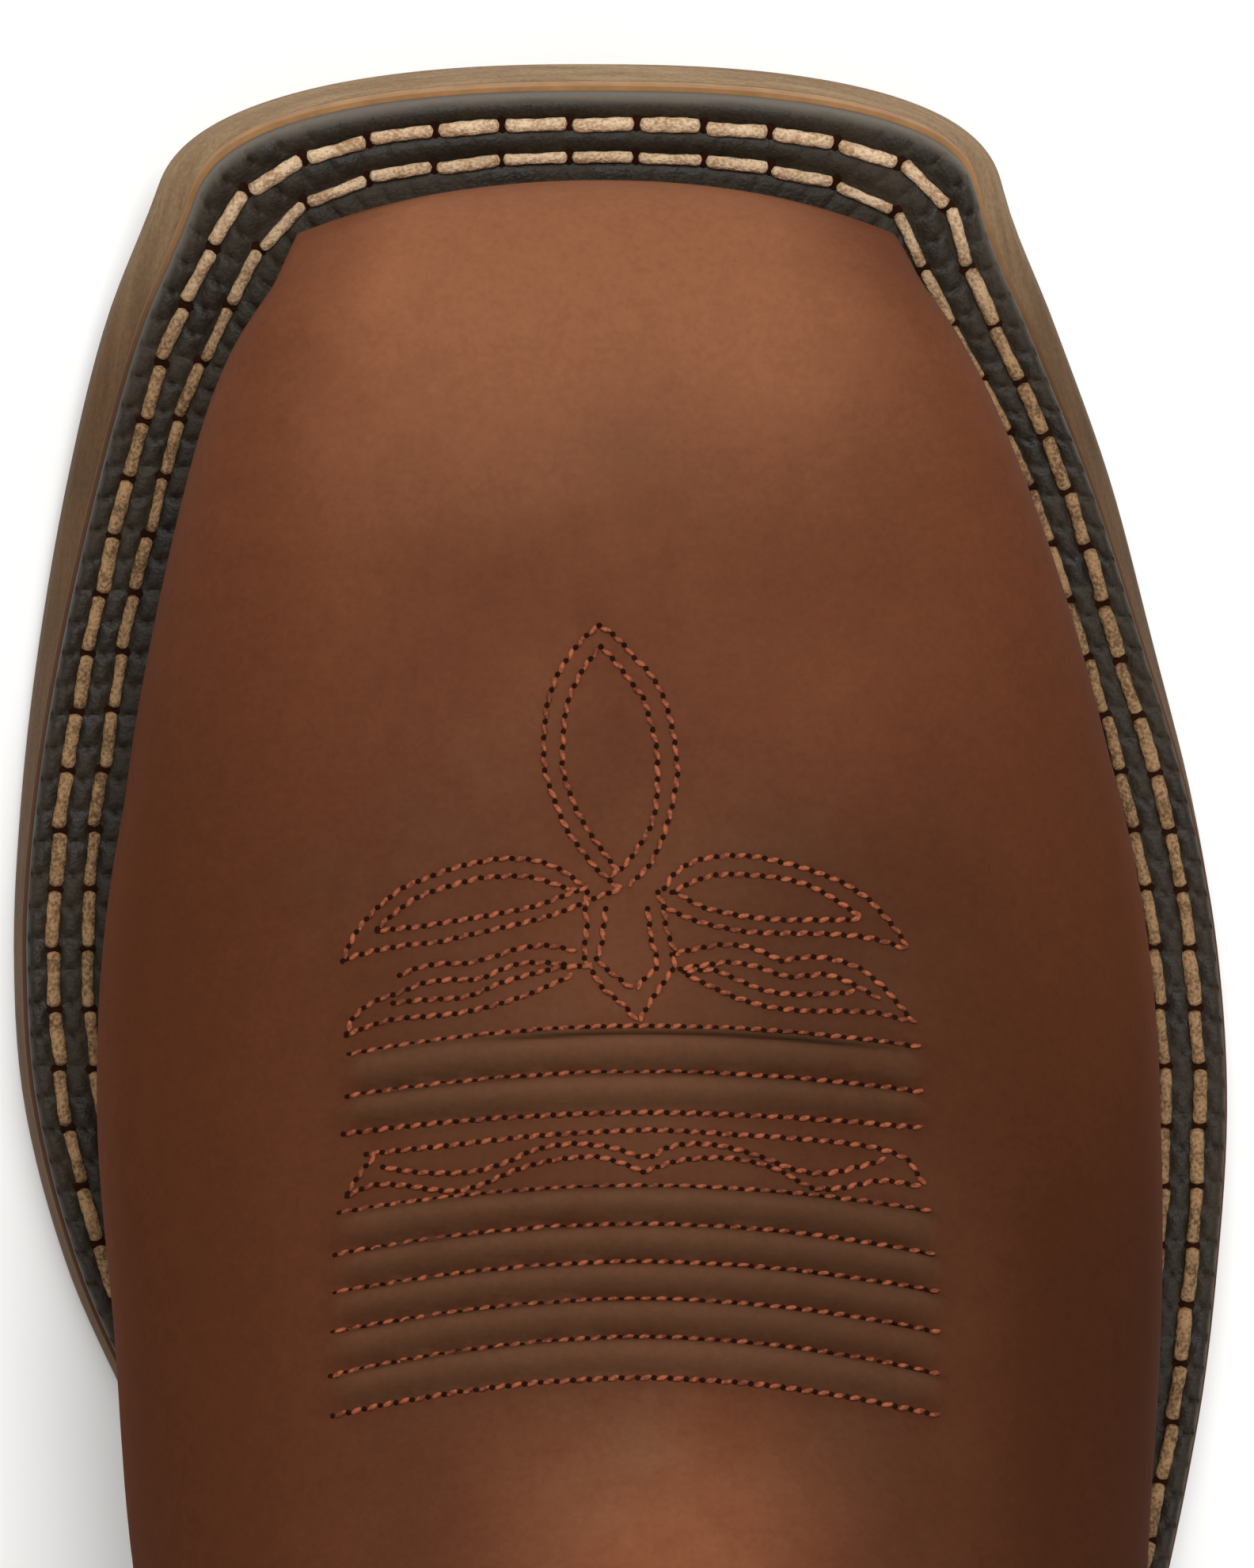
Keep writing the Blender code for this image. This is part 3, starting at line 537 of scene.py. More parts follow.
def finish(name, recipe, **constants):
    """Material from a recipe. The recipe's relief, in metres, goes through a Bump node."""
    material = bpy.data.materials.new(name)
    material.use_nodes = True
    tree = material.node_tree
    shader = tree.nodes["Principled BSDF"]
    for key, value in constants.items():
        label = key.replace("_", " ").title().replace("Ior", "IOR")
        socket_of(shader.inputs, label).default_value = value
    place = Paint(tree, tree.nodes.new("ShaderNodeTexCoord").outputs["Object"])
    for key, value in recipe(place).items():
        if key == "relief":
            value = place.node("ShaderNodeBump", {}, {"Distance": 1.0, "Height": value})
            key = "Normal"
        if isinstance(value, Paint):
            tree.links.new(value.socket, socket_of(shader.inputs, key))
        else:
            socket_of(shader.inputs, key).default_value = value
    return material


def srgb(red, green, blue):
    """Colour as picked on a screen, 0 to 255, as the shader wants it."""
    shares = [channel / 255 for channel in (red, green, blue)]
    return (*(s / 12.92 if s < 0.04045 else ((s + 0.055) / 1.055) ** 2.4 for s in shares), 1.0)


print("leather brown is", [round(c, 3) for c in srgb(115, 66, 44)])

# %% [markdown]
# ## The finishes of the boot
#
# The upper is an oiled, waxy leather: redder where the toe stretches it, with a painted
# highlight there, greyer and darker where the wax has gathered, with a very fine grain, and
# with painted light and shade over the foot. The welt is dark rubber with a grey bloom and a
# painted highlight on its lip, the sole is tan rubber, painted paler at the toe and darker
# down the sides, and a thin leather midsole shows as an orange line.

# %% Materials
LIT_TERRACOTTA = srgb(131, 83, 57)
SADDLE = srgb(92, 52, 33)
WAX_DARK = srgb(93, 61, 42)
SIDE_SHADE_BROWN = srgb(73, 39, 22)
THREAD_PALE, THREAD_BROWN = srgb(158, 86, 54), srgb(96, 45, 26)
LIP_BLOOM_HIGHLIGHT = srgb(96, 87, 75)
LIFTS_PER_METRE = 230  # layers of leather in a metre of heel


def oiled_leather(place):
    """Clouds of redder and browner leather, streaks of dark wax, flecks and a fine grain."""
    cloud, patch = place.noise(26, 3), place.noise(85, 4, 0.6)
    streak, fleck = place.noise(210, 3, 0.6), place.noise(420, 4, 0.7)
    grain, pores = place.noise(1500, 3, 0.6), place.noise(5200, 1)
    # the toe paint is the leather's redder colour where it is stretched, and a painted highlight on
    # the front of the toe
    toe = place.painted("toe") + (cloud - 0.5) * 0.5 + (patch - 0.5) * 0.35
    wax = place.painted("wax") * (patch * 1.6 + streak * 1.6 - 0.6) + (patch - 0.5) * 0.25
    colour = toe.ramp(0.0, 1.0).mix(SADDLE, LIT_TERRACOTTA)
    colour = wax.ramp(0.0, 1.0).mix(colour, WAX_DARK)
    # painted shade: deep brown where the leather turns down the sides, away from the light
    colour = place.painted("side").ramp(0.0, 1.0).mix(colour, SIDE_SHADE_BROWN)
    cloudy = (grain - 0.5) * 0.34 + (fleck - 0.5) * 0.30 + (cloud - 0.5) * 0.22 + 1.0
    # the painted tone is painted light and shade: bands and spots that lighten or darken the
    # leather
    colour = colour.dim(cloudy * place.painted("tone"))
    relief = grain * 0.00004 + pores * 0.00002 + patch * 0.00010
    gloss = place.painted("side") * 0.35 + (grain - 0.5) * 0.12 + 0.58
    return {"Base Color": colour, "Roughness": gloss, "relief": relief}


def waxed_thread(place):
    """Fine thread, pale on its worn plies and brown where the wax stays."""
    ply, worn = place.noise(1800, 2), place.noise(260, 2)
    tone = (ply * 0.7 + worn * 0.5).ramp(0.45, 0.75)
    return {"Base Color": tone.mix(THREAD_BROWN, THREAD_PALE), "relief": ply * 0.00018}


def twine_skin(place):
    """Two rows of pale waxed twine, fibrous, in less light along the sides."""
    ply, worn = place.noise(2800, 3), place.noise(420, 2)
    tone = (ply * 0.7 + worn * 0.5).ramp(0.40, 0.76)
    side = tone.mix(srgb(88, 64, 42), srgb(158, 124, 88))
    front = tone.mix(srgb(162, 126, 92), srgb(224, 196, 162))
    return {"Base Color": place.painted("front").mix(side, front), "relief": ply * 0.00025}


def welt_skin(place):
    """Near black rubber, with a grey bloom and a painted highlight on its rounded lip."""
    bloom, grit = place.noise(160, 3), place.noise(2600, 2)
    tone = (bloom * 0.6 + grit * 0.4).ramp(0.3, 0.75)
    colour = tone.mix(srgb(29, 22, 14), srgb(52, 42, 29))
    colour = (place.painted("lip") * (bloom + 0.4)).ramp(0.0, 1.0).mix(colour, LIP_BLOOM_HIGHLIGHT)
    return {"Base Color": colour, "Roughness": bloom.ramp(0.3, 0.7, 0.5, 0.66),
            "relief": grit * 0.0001}


def sole_skin(place):
    """Tan rubber with faint streaks along its edge."""
    streak, grit = place.stretched(1, 1, 8).noise(110, 3), place.noise(1900, 2)
    tone = (streak * 0.6 + grit * 0.4).ramp(0.25, 0.8)
    # painted light and shade: paler tan at the front of the toe, darker tan down the sides
    side = tone.mix(srgb(78, 54, 30), srgb(106, 77, 46))
    front = tone.mix(srgb(122, 95, 66), srgb(164, 136, 101))
    colour = place.painted("front").mix(side, front)
    return {"Base Color": colour, "relief": grit * 0.00012}


def midsole_skin(place):
    """Tan on its edge, orange brown on the narrow shelf that shows beside the welt."""
    fleck = place.noise(300, 3).ramp(0.25, 0.75)
    front, top = place.painted("front"), place.painted("top")
    # painted light and shade: paler at the front of the toe, darker down the sides
    tan = front.mix(srgb(92, 66, 38), fleck.mix(srgb(140, 112, 80), srgb(164, 136, 102)))
    shelf = front.mix(srgb(84, 52, 28), fleck.mix(srgb(150, 108, 66), srgb(170, 126, 80)))
    colour = top.ramp(0.0, 1.0, 0.70, 0.99).mix(tan, shelf)
    return {"Base Color": colour, "relief": fleck * 0.0001}


def stacked_leather(place):
    """Layers of leather, with a dark line between each two."""
    layer = place.axis("Z") * LIFTS_PER_METRE
    line = layer.maths("FRACT", layer).maths("PINGPONG", layer.maths("FRACT", layer), 0.5)
    fibre = place.stretched(1, 1, 6).noise(300, 3)
    tone = (line * 4.0 + fibre * 0.5).ramp(0.1, 0.9)
    colour = tone.mix(srgb(58, 36, 22), srgb(112, 74, 46))
    return {"Base Color": colour, "relief": line.ramp(0.0, 0.12) * 0.0002 + fibre * 0.0001}


def plain(colour, other, scale, depth=0.0001):
    """Two close colours in fine noise, for the small parts."""
    def recipe(place):
        fleck = place.noise(scale, 3)
        mixed = fleck.ramp(0.25, 0.75).mix(colour, other)
        return {"Base Color": mixed, "relief": fleck * depth}
    return recipe


LEATHER = finish("oiled_leather", oiled_leather, specular_ior_level=0.02)
LINING = finish("lining", plain(srgb(150, 112, 78), srgb(170, 132, 96), 700), roughness=0.9)
TRIM = finish("trim_leather", plain(srgb(66, 36, 22), srgb(80, 45, 28), 420), roughness=0.6,
              specular_ior_level=0.12)
WELT = finish("welt_rubber", welt_skin, specular_ior_level=0.25)
SOLE = finish("sole_rubber", sole_skin, roughness=0.72, specular_ior_level=0.15)
MIDSOLE = finish("midsole_leather", midsole_skin, roughness=0.65, specular_ior_level=0.2)
STACKED = finish("stacked_leather", stacked_leather, roughness=0.5)
LIFT = finish("lift_rubber", plain(srgb(118, 90, 62), srgb(140, 110, 80), 1200), roughness=0.8)
FOOTBED = finish("footbed", plain(srgb(128, 92, 60), srgb(146, 108, 74), 500), roughness=0.85)
TWINE = finish("welt_thread", twine_skin, roughness=0.85, specular_ior_level=0.2)
THREAD = finish("upper_thread", waxed_thread, roughness=0.6, specular_ior_level=0.2)
# needle holes: near black, both the holes and the painted shade round the thread's ends
HOLE_SHADE = finish("needle_hole_shade", plain(srgb(30, 15, 9), srgb(40, 21, 13), 900), roughness=1.0,
              specular_ior_level=0.0)
print("materials:", len(bpy.data.materials))

# %% [markdown]
# ## Outsole and midsole
#
# The outsole is moulded rubber with cross grooves in its tread, cut here with Booleans as a
# mould would leave them. Its side slopes in a little towards the welt. The midsole is one
# thin layer of leather, which shows only as a line.

# %% Outsole and midsole
EDGE_ROUND = 0.0012
SIDE_SHOULDER, SIDE_DRAFT = 0.55, 0.15
GROOVE_WIDTH, GROOVE_DEPTH, GROOVE_PITCH, TREAD_RIM = 0.0042, 0.0028, 0.0125, 0.010
FIRST_GROOVE, GROOVES = TOE_CAP + TREAD_RIM, 9
# painted light: the sole, the midsole and the twine are painted paler at the front of the toe,
# fading from here over this length
LIT_FRONT, LIT_FRONT_FADE = 0.003, 0.030  # the pale front ends here, and fades over this
LEAN_TRIES = 8  # rounds of reckoning until station and height agree


def ends_at(station, depth):
    """Medial and lateral x of the outline, moved in by depth, at a station."""
    loop = sole_loop(lambda s: depth)
    half = len(loop) // 2
    sides = loop[: half + 1], loop[half:][::-1]
    return [float(np.interp(station, side[:, 0], side[:, 1])) for side in sides]


def cut_grooves(piece, stations, floor):
    """Cross grooves in the tread, from bars that are subtracted one by one."""
    for station in stations:
        medial, lateral = ends_at(station, TREAD_RIM)
        middle = ((medial + lateral) / 2, station - LENGTH / 2, floor(station))
        pick()
        bpy.ops.mesh.primitive_cube_add(size=1, location=middle)
        bar = bpy.context.object
        bar.scale = (medial - lateral, GROOVE_WIDTH, 2 * GROOVE_DEPTH)
        bpy.ops.object.transform_apply(location=True, rotation=True, scale=True)
        apply_modifier(piece, "BOOLEAN", operation="DIFFERENCE", solver="EXACT", object=bar)
        bpy.data.objects.remove(bar)


def height_in_sole(piece):
    """Height of each point above the tread, square to it: the toe leans with its spring."""
    points = np.array([v.co[:] for v in piece.data.vertices])
    station = points[:, 1] + LENGTH / 2
    for _ in range(LEAN_TRIES):
        height = points[:, 2] - tread_height(station)
        station = points[:, 1] + LENGTH / 2 - height * toe_lean(station)
    return height


def paint_front(piece):
    """Paler rubber at the front of the toe, where the photograph's light falls on it."""
    stations = np.array([v.co.y + LENGTH / 2 for v in piece.data.vertices])
    paint_points(piece, "front", 1 - smoothstep((stations - LIT_FRONT) / LIT_FRONT_FADE))


outsole_levels = (
    # moved in by, height above the underside
    (lambda s: EDGE_ROUND, 0.0),
    (lambda s: EDGE_ROUND * 0.3, EDGE_ROUND * 0.3),
    (lambda s: 0.0, EDGE_ROUND),
    (lambda s: SIDE_DRAFT * ledge(s), SIDE_SHOULDER * OUTSOLE_THICK),
    (lambda s: ledge(s) - MIDSOLE_PROUD, OUTSOLE_THICK),
)
outsole = slab("outsole_tread", [on_sole(sole_loop(d), h) for d, h in outsole_levels])
cut_grooves(outsole, [FIRST_GROOVE + n * GROOVE_PITCH for n in range(GROOVES)], tread_height)
paint_front(outsole)
finish_piece(outsole, "outsole", SOLE, 35)

midsole_edge = sole_loop(lambda s: ledge(s) - MIDSOLE_PROUD)
midsole_low = OUTSOLE_THICK + FIT_GAP
midsole_rings = [on_sole(midsole_edge, midsole_low + h) for h in (0.0, MIDSOLE_THICK)]
midsole = slab("midsole_layer", midsole_rings)
paint_points(midsole, "top", (height_in_sole(midsole) - midsole_low) / MIDSOLE_THICK)
paint_front(midsole)
finish_piece(midsole, "midsole", MIDSOLE, 35)

# %% [markdown]
# ## The heel and its lift
#
# The heel is built up from layers of leather over a rubber lift, and both taper a little
# towards the floor. Its front, the breast, is a shallow hollow. Each is a closed block made
# from the sole's own outline, cut off at the breast.

# %% Heel and its lift
LIFT_THICK, HEEL_TAPER, BREAST_HOLLOW, BREAST_STEPS = 0.0065, 0.0020, 0.004, 16
LIFT_GROOVES = [BREAST + 0.022 + n * 0.015 for n in range(3)]


def heel_outline(depth):
    """Outline behind the breast, moved in by depth, with the breast a little hollow."""
    edge = sole_loop(lambda s: depth)
    behind = edge[sole_loop()[:, 0] > BREAST + BREAST_HOLLOW]
    medial, lateral = ends_at(BREAST + depth, depth)
    share = np.linspace(0, 1, BREAST_STEPS + 1)
    front = BREAST + depth + BREAST_HOLLOW * (1 - (2 * share - 1) ** 2)
    return np.vstack((behind, np.column_stack((front, lateral + (medial - lateral) * share))))


def heel_block(name, levels):
    """Closed block from (height, moved in by) levels."""
    rings = []
    for height, depth in levels:
        station, x = heel_outline(depth).T
        rings.append(np.column_stack((x, station - LENGTH / 2, np.full(len(x), height))))
    return closed_block(name, rings)


tapered = EDGE_ROUND + HEEL_TAPER
heel_levels = [(LIFT_THICK + FIT_GAP, tapered), (HEEL_RISE - FIT_GAP, EDGE_ROUND)]
lift_levels = [(0.0, tapered + EDGE_ROUND), (EDGE_ROUND, tapered), (LIFT_THICK, tapered)]
heel = heel_block("heel_stack", heel_levels)
finish_piece(heel, "heel", STACKED, 35)
lift = heel_block("heel_lift_rubber", lift_levels)
cut_grooves(lift, LIFT_GROOVES, lambda station: 0.0)
finish_piece(lift, "heel_lift", LIFT, 35)

# %% [markdown]
# ## The welt
#
# The welt is a moulded strip: a rounded lip, two channels for the thread and, between them,
# rows of pressed blocks. It is one grid, long way round and short way across, whose heights
# come from a small table for the cross-section and from a repeat for the pressed grooves.

# %% Welt
WELT_SECTION = (
    # from the welt's edge and below its top, mm where the welt shows its full width
    (0.0, 3.2), (0.0, 1.5), (0.12, 0.7), (0.4, 0.22), (0.7, 0.05), (1.1, 0.05), (1.5, 0.15),
    (1.8, 0.35), (2.1, 0.55), (2.6, 0.62), (3.1, 0.55), (3.4, 0.35), (3.7, 0.15), (4.2, 0.1),
    (4.75, 0.15), (5.1, 0.35), (5.45, 0.55), (5.95, 0.62), (6.45, 0.55), (6.8, 0.35), (7.15, 0.15),
    (7.7, 0.1), (8.4, 0.1), (9.2, 0.1), (14.4, 0.1), (14.4, 3.2),
)
MM = 0.001
SHOWN, HIDDEN = WELT_WIDTH / MM, WELT_UNDER / MM  # mm outside the upper and under it
WELT_STEP = 0.0004
BLOCK_PITCH, BLOCK_GROOVE, BLOCK_DEPTH = 0.0031, 0.00036, 0.00055
BLOCK_BANDS = ((0.3, 1.7), (3.5, 4.9), (7.0, 8.5))  # mm from the edge
BLOCK_TOP = 0.6  # mm below the top: deeper lines stay plain
PLAIN_FRONT, PLAIN_FADE = 0.022, 0.012  # half width of the toe where the blocks fade
FRONT_BLOCKS, NARROW_BLOCKS = 0.25, 0.2  # share of the blocks' depth left there and at the waist
# the lip's grey is a bloom with a painted highlight, strongest at the toe: its middle and width
# across the lip in mm, and its fade from the toe in m
LIP_MIDDLE, LIP_WIDTH, LIP_FRONT = 0.10, 0.42, 0.022  # mm, mm and m: the grey bloom on the lip
LIP_SIDE = 0.18


def evenly(loop, spacing):
    """Broken indices of points at even distances round a closed loop."""
    run = run_along(np.vstack((loop, loop[:1])))
    at = np.linspace(0, run[-1], int(run[-1] / spacing), endpoint=False)
    return np.interp(at, run, np.arange(len(run)))


def at_index(loop, index):
    """Points between the points of a closed loop, at broken indices."""
    low = np.floor(index).astype(int)
    share = (index - low)[:, None]
    return loop[low % len(loop)] * (1 - share) + loop[(low + 1) % len(loop)] * share


outer = on_sole(sole_loop(ledge), STACK)
inner = on_sole(sole_loop(lambda s: feather_depth(s)), STACK)
under = on_sole(sole_loop(lambda s: feather_depth(s) + WELT_UNDER), STACK)
steps = evenly(outer, WELT_STEP)
edge_line, feather_line, under_line = (at_index(line, steps) for line in (outer, inner, under))
show = np.linalg.norm(feather_line - edge_line, axis=1)
welt_lean = toe_lean(at_index(sole_loop(ledge), steps)[:, 0])
from_axis = np.abs(edge_line[:, 0] - TOE_AXIS)
blocks = np.clip((from_axis - PLAIN_FRONT) / PLAIN_FADE, FRONT_BLOCKS, 1)
blocks = np.where(edge_line[:, 1] < 0, blocks, 1.0) * np.clip(show / WELT_WIDTH, NARROW_BLOCKS, 1)
phase = (run_along(edge_line) % BLOCK_PITCH) - BLOCK_PITCH / 2
groove = np.exp(-((phase / BLOCK_GROOVE) ** 2)) * BLOCK_DEPTH * blocks


def welt_line(across, below):
    """One line round the welt: across and below in mm of the nominal section."""
    if across > SHOWN:
        line = feather_line + (under_line - feather_line) * ((across - SHOWN) / HIDDEN)
    else:
        line = edge_line + (feather_line - edge_line) * (across / SHOWN)
    on_blocks = below < BLOCK_TOP and any(low < across < high for low, high in BLOCK_BANDS)
    line[:, 1] -= below * MM * welt_lean
    line[:, 2] -= below * MM + (groove if on_blocks else 0.0)
    return line


rows = [welt_line(across, below) for across, below in WELT_SECTION]
rows = [np.vstack((row, row[:1])) for row in rows]
welt = grid_sheet("welt_strip", rows + rows[:1])
# painted highlight on the lip: full at the toe, a share of it down the sides
front = LIP_SIDE + (1 - LIP_SIDE) * np.exp(-(((rows[0][:, 1] + LENGTH / 2) / LIP_FRONT) ** 2))
lip = [front * math.exp(-(((across - LIP_MIDDLE) / LIP_WIDTH) ** 2))
       for across, _ in WELT_SECTION + WELT_SECTION[:1]]
paint_points(welt, "lip", np.concatenate(lip))
edit(welt, merge(), outward)
finish_piece(welt, "welt", WELT, 60)

# %% [markdown]
# ## The thread of the welt
#
# Two rows of thick waxed twine hold the welt down. A stitch is a sphere drawn out into a
# twisted cord whose ends dive into the rubber. The rows are copies of six such cords, each
# copy a little longer, shorter or turned, as a machine leaves them.

# %% Twine on the welt
FRONT_PITCH, SIDE_PITCH, STITCH_THICK = 0.0065, 0.0058, 0.00068
STITCH_ROWS = (
    # mm from the edge of the full welt, width of welt that the row needs, thickness
    (2.60, 0.0036, 1.0),
    (5.95, 0.0066, 0.88),
)
SIDES_FROM, SIDES_OVER = 0.010, 0.030  # from the toe: where the shorter stitches begin
STITCH_SHARE, STITCH_FLAT, STITCH_SINK = 0.480, 0.82, 0.00015
LONGER, THICKER, TURNED = (-0.02, 0.010), (0.93, 1.06), (-0.018, 0.018)  # a machine's spread
PIT_SIZE, PIT_SINK = (0.0006, 0.0009, 0.0002), 0.0004
SQUARE_END, END_DIP, PLY_DEPTH, PLIES, PLY_TWIST = 14, 0.35, 0.05, 3, 9


def plied(points, waist, bend):
    """Sphere to a soft cord, 2 long and 2 thick, with square ends that dip."""
    along = 1 - 2 * np.arccos(np.clip(points[:, 2], -1, 1)) / math.pi
    angle = np.arctan2(points[:, 1], points[:, 0])
    thick = (1 - np.abs(along) ** SQUARE_END) ** 0.5 * (1 - waist * np.cos(2 * along))
    thick *= 1 + PLY_DEPTH * np.cos(PLIES * angle + PLY_TWIST * along)
    side = thick * np.cos(angle) + bend * (1 - along**2)
    up = thick * np.sin(angle) - END_DIP * np.abs(along) ** 6
    return np.column_stack((along, side, up))


def sphere(segments, rings):
    return lambda: bpy.ops.mesh.primitive_uv_sphere_add(segments=segments, ring_count=rings)


CORD_SHAPES = (
    # thinner in the middle, bent to one side
    (0.0, 0.0), (0.10, 0.06), (-0.06, -0.05), (0.06, -0.08), (0.13, 0.03), (-0.03, 0.07),
)
cord_points, cord_faces = template("stitch", sphere(14, 24), 1.0)
cords = [plied(cord_points, waist, bend) for waist, bend in CORD_SHAPES]
pit, pit_faces = template("pit", sphere(8, 5), 1.0)
stitches, pits = [], []
for across, enough, stout in STITCH_ROWS:
    line = edge_line + (feather_line - edge_line) * (across / SHOWN)
    line = np.vstack((line, line[:1]))
    length = run_along(line)
    back = smoothstep((line[1:, 1] + LENGTH / 2 - SIDES_FROM) / SIDES_OVER)
    pitch = FRONT_PITCH + (SIDE_PITCH - FRONT_PITCH) * back
    beats = np.concatenate(([0], np.cumsum(np.diff(length) / pitch)))
    count = round(beats[-1])
    marks = np.interp(np.arange(count + 1) * beats[-1] / count, beats, length)

    def at(distance):
        """Point of the row, and the nearest step of the welt, at a distance along it."""
        distance = distance % length[-1]
        point = np.array([np.interp(distance, length, line[:, k]) for k in range(3)])
        return point, int(np.searchsorted(length, distance)) % len(edge_line)

    for mark, next_mark in zip(marks, marks[1:]):
        half = (next_mark - mark) * (STITCH_SHARE + random.uniform(*LONGER))
        start, i = at(mark - half)
        end, _ = at(mark + half)
        if show[i] < enough:
            continue
        inward = feather_line[i] - edge_line[i]
        up = np.cross(end - start, inward)
        up *= np.sign(up[2]) / np.linalg.norm(up)
        thick = STITCH_THICK * random.uniform(*THICKER) * stout
        wobble = inward * random.uniform(*TURNED)
        along = end - start + wobble * 2
        centre = (start + end) / 2 + wobble - up * STITCH_SINK
        stitches.append((centre, along, up, (half, thick, thick * STITCH_FLAT)))
        # a dark pit between stitches: the needle hole, and painted shade where the twine dives in
        gap = at((mark + next_mark) / 2)[0] - up * PIT_SINK
        pits.append((gap, along, up, PIT_SIZE))
twine = scatter("welt_twine", cords, cord_faces, stitches)
paint_front(twine)
finish_piece(twine, None, TWINE, 60)
twine_holes = scatter("welt_twine_holes", [pit], pit_faces, pits)
finish_piece(twine_holes, None, HOLE_SHADE, 60)
print("welt stitches:", len(stitches))

# %% [markdown]
# ## The stitched pattern
#
# A western boot carries a stitched medallion on its toe and a row of padded wrinkles over
# the joint of the foot. The lines were laid out over the photograph, in its own frame:
# each is a list of points, and the camera's lines of sight carry them down to the leather.

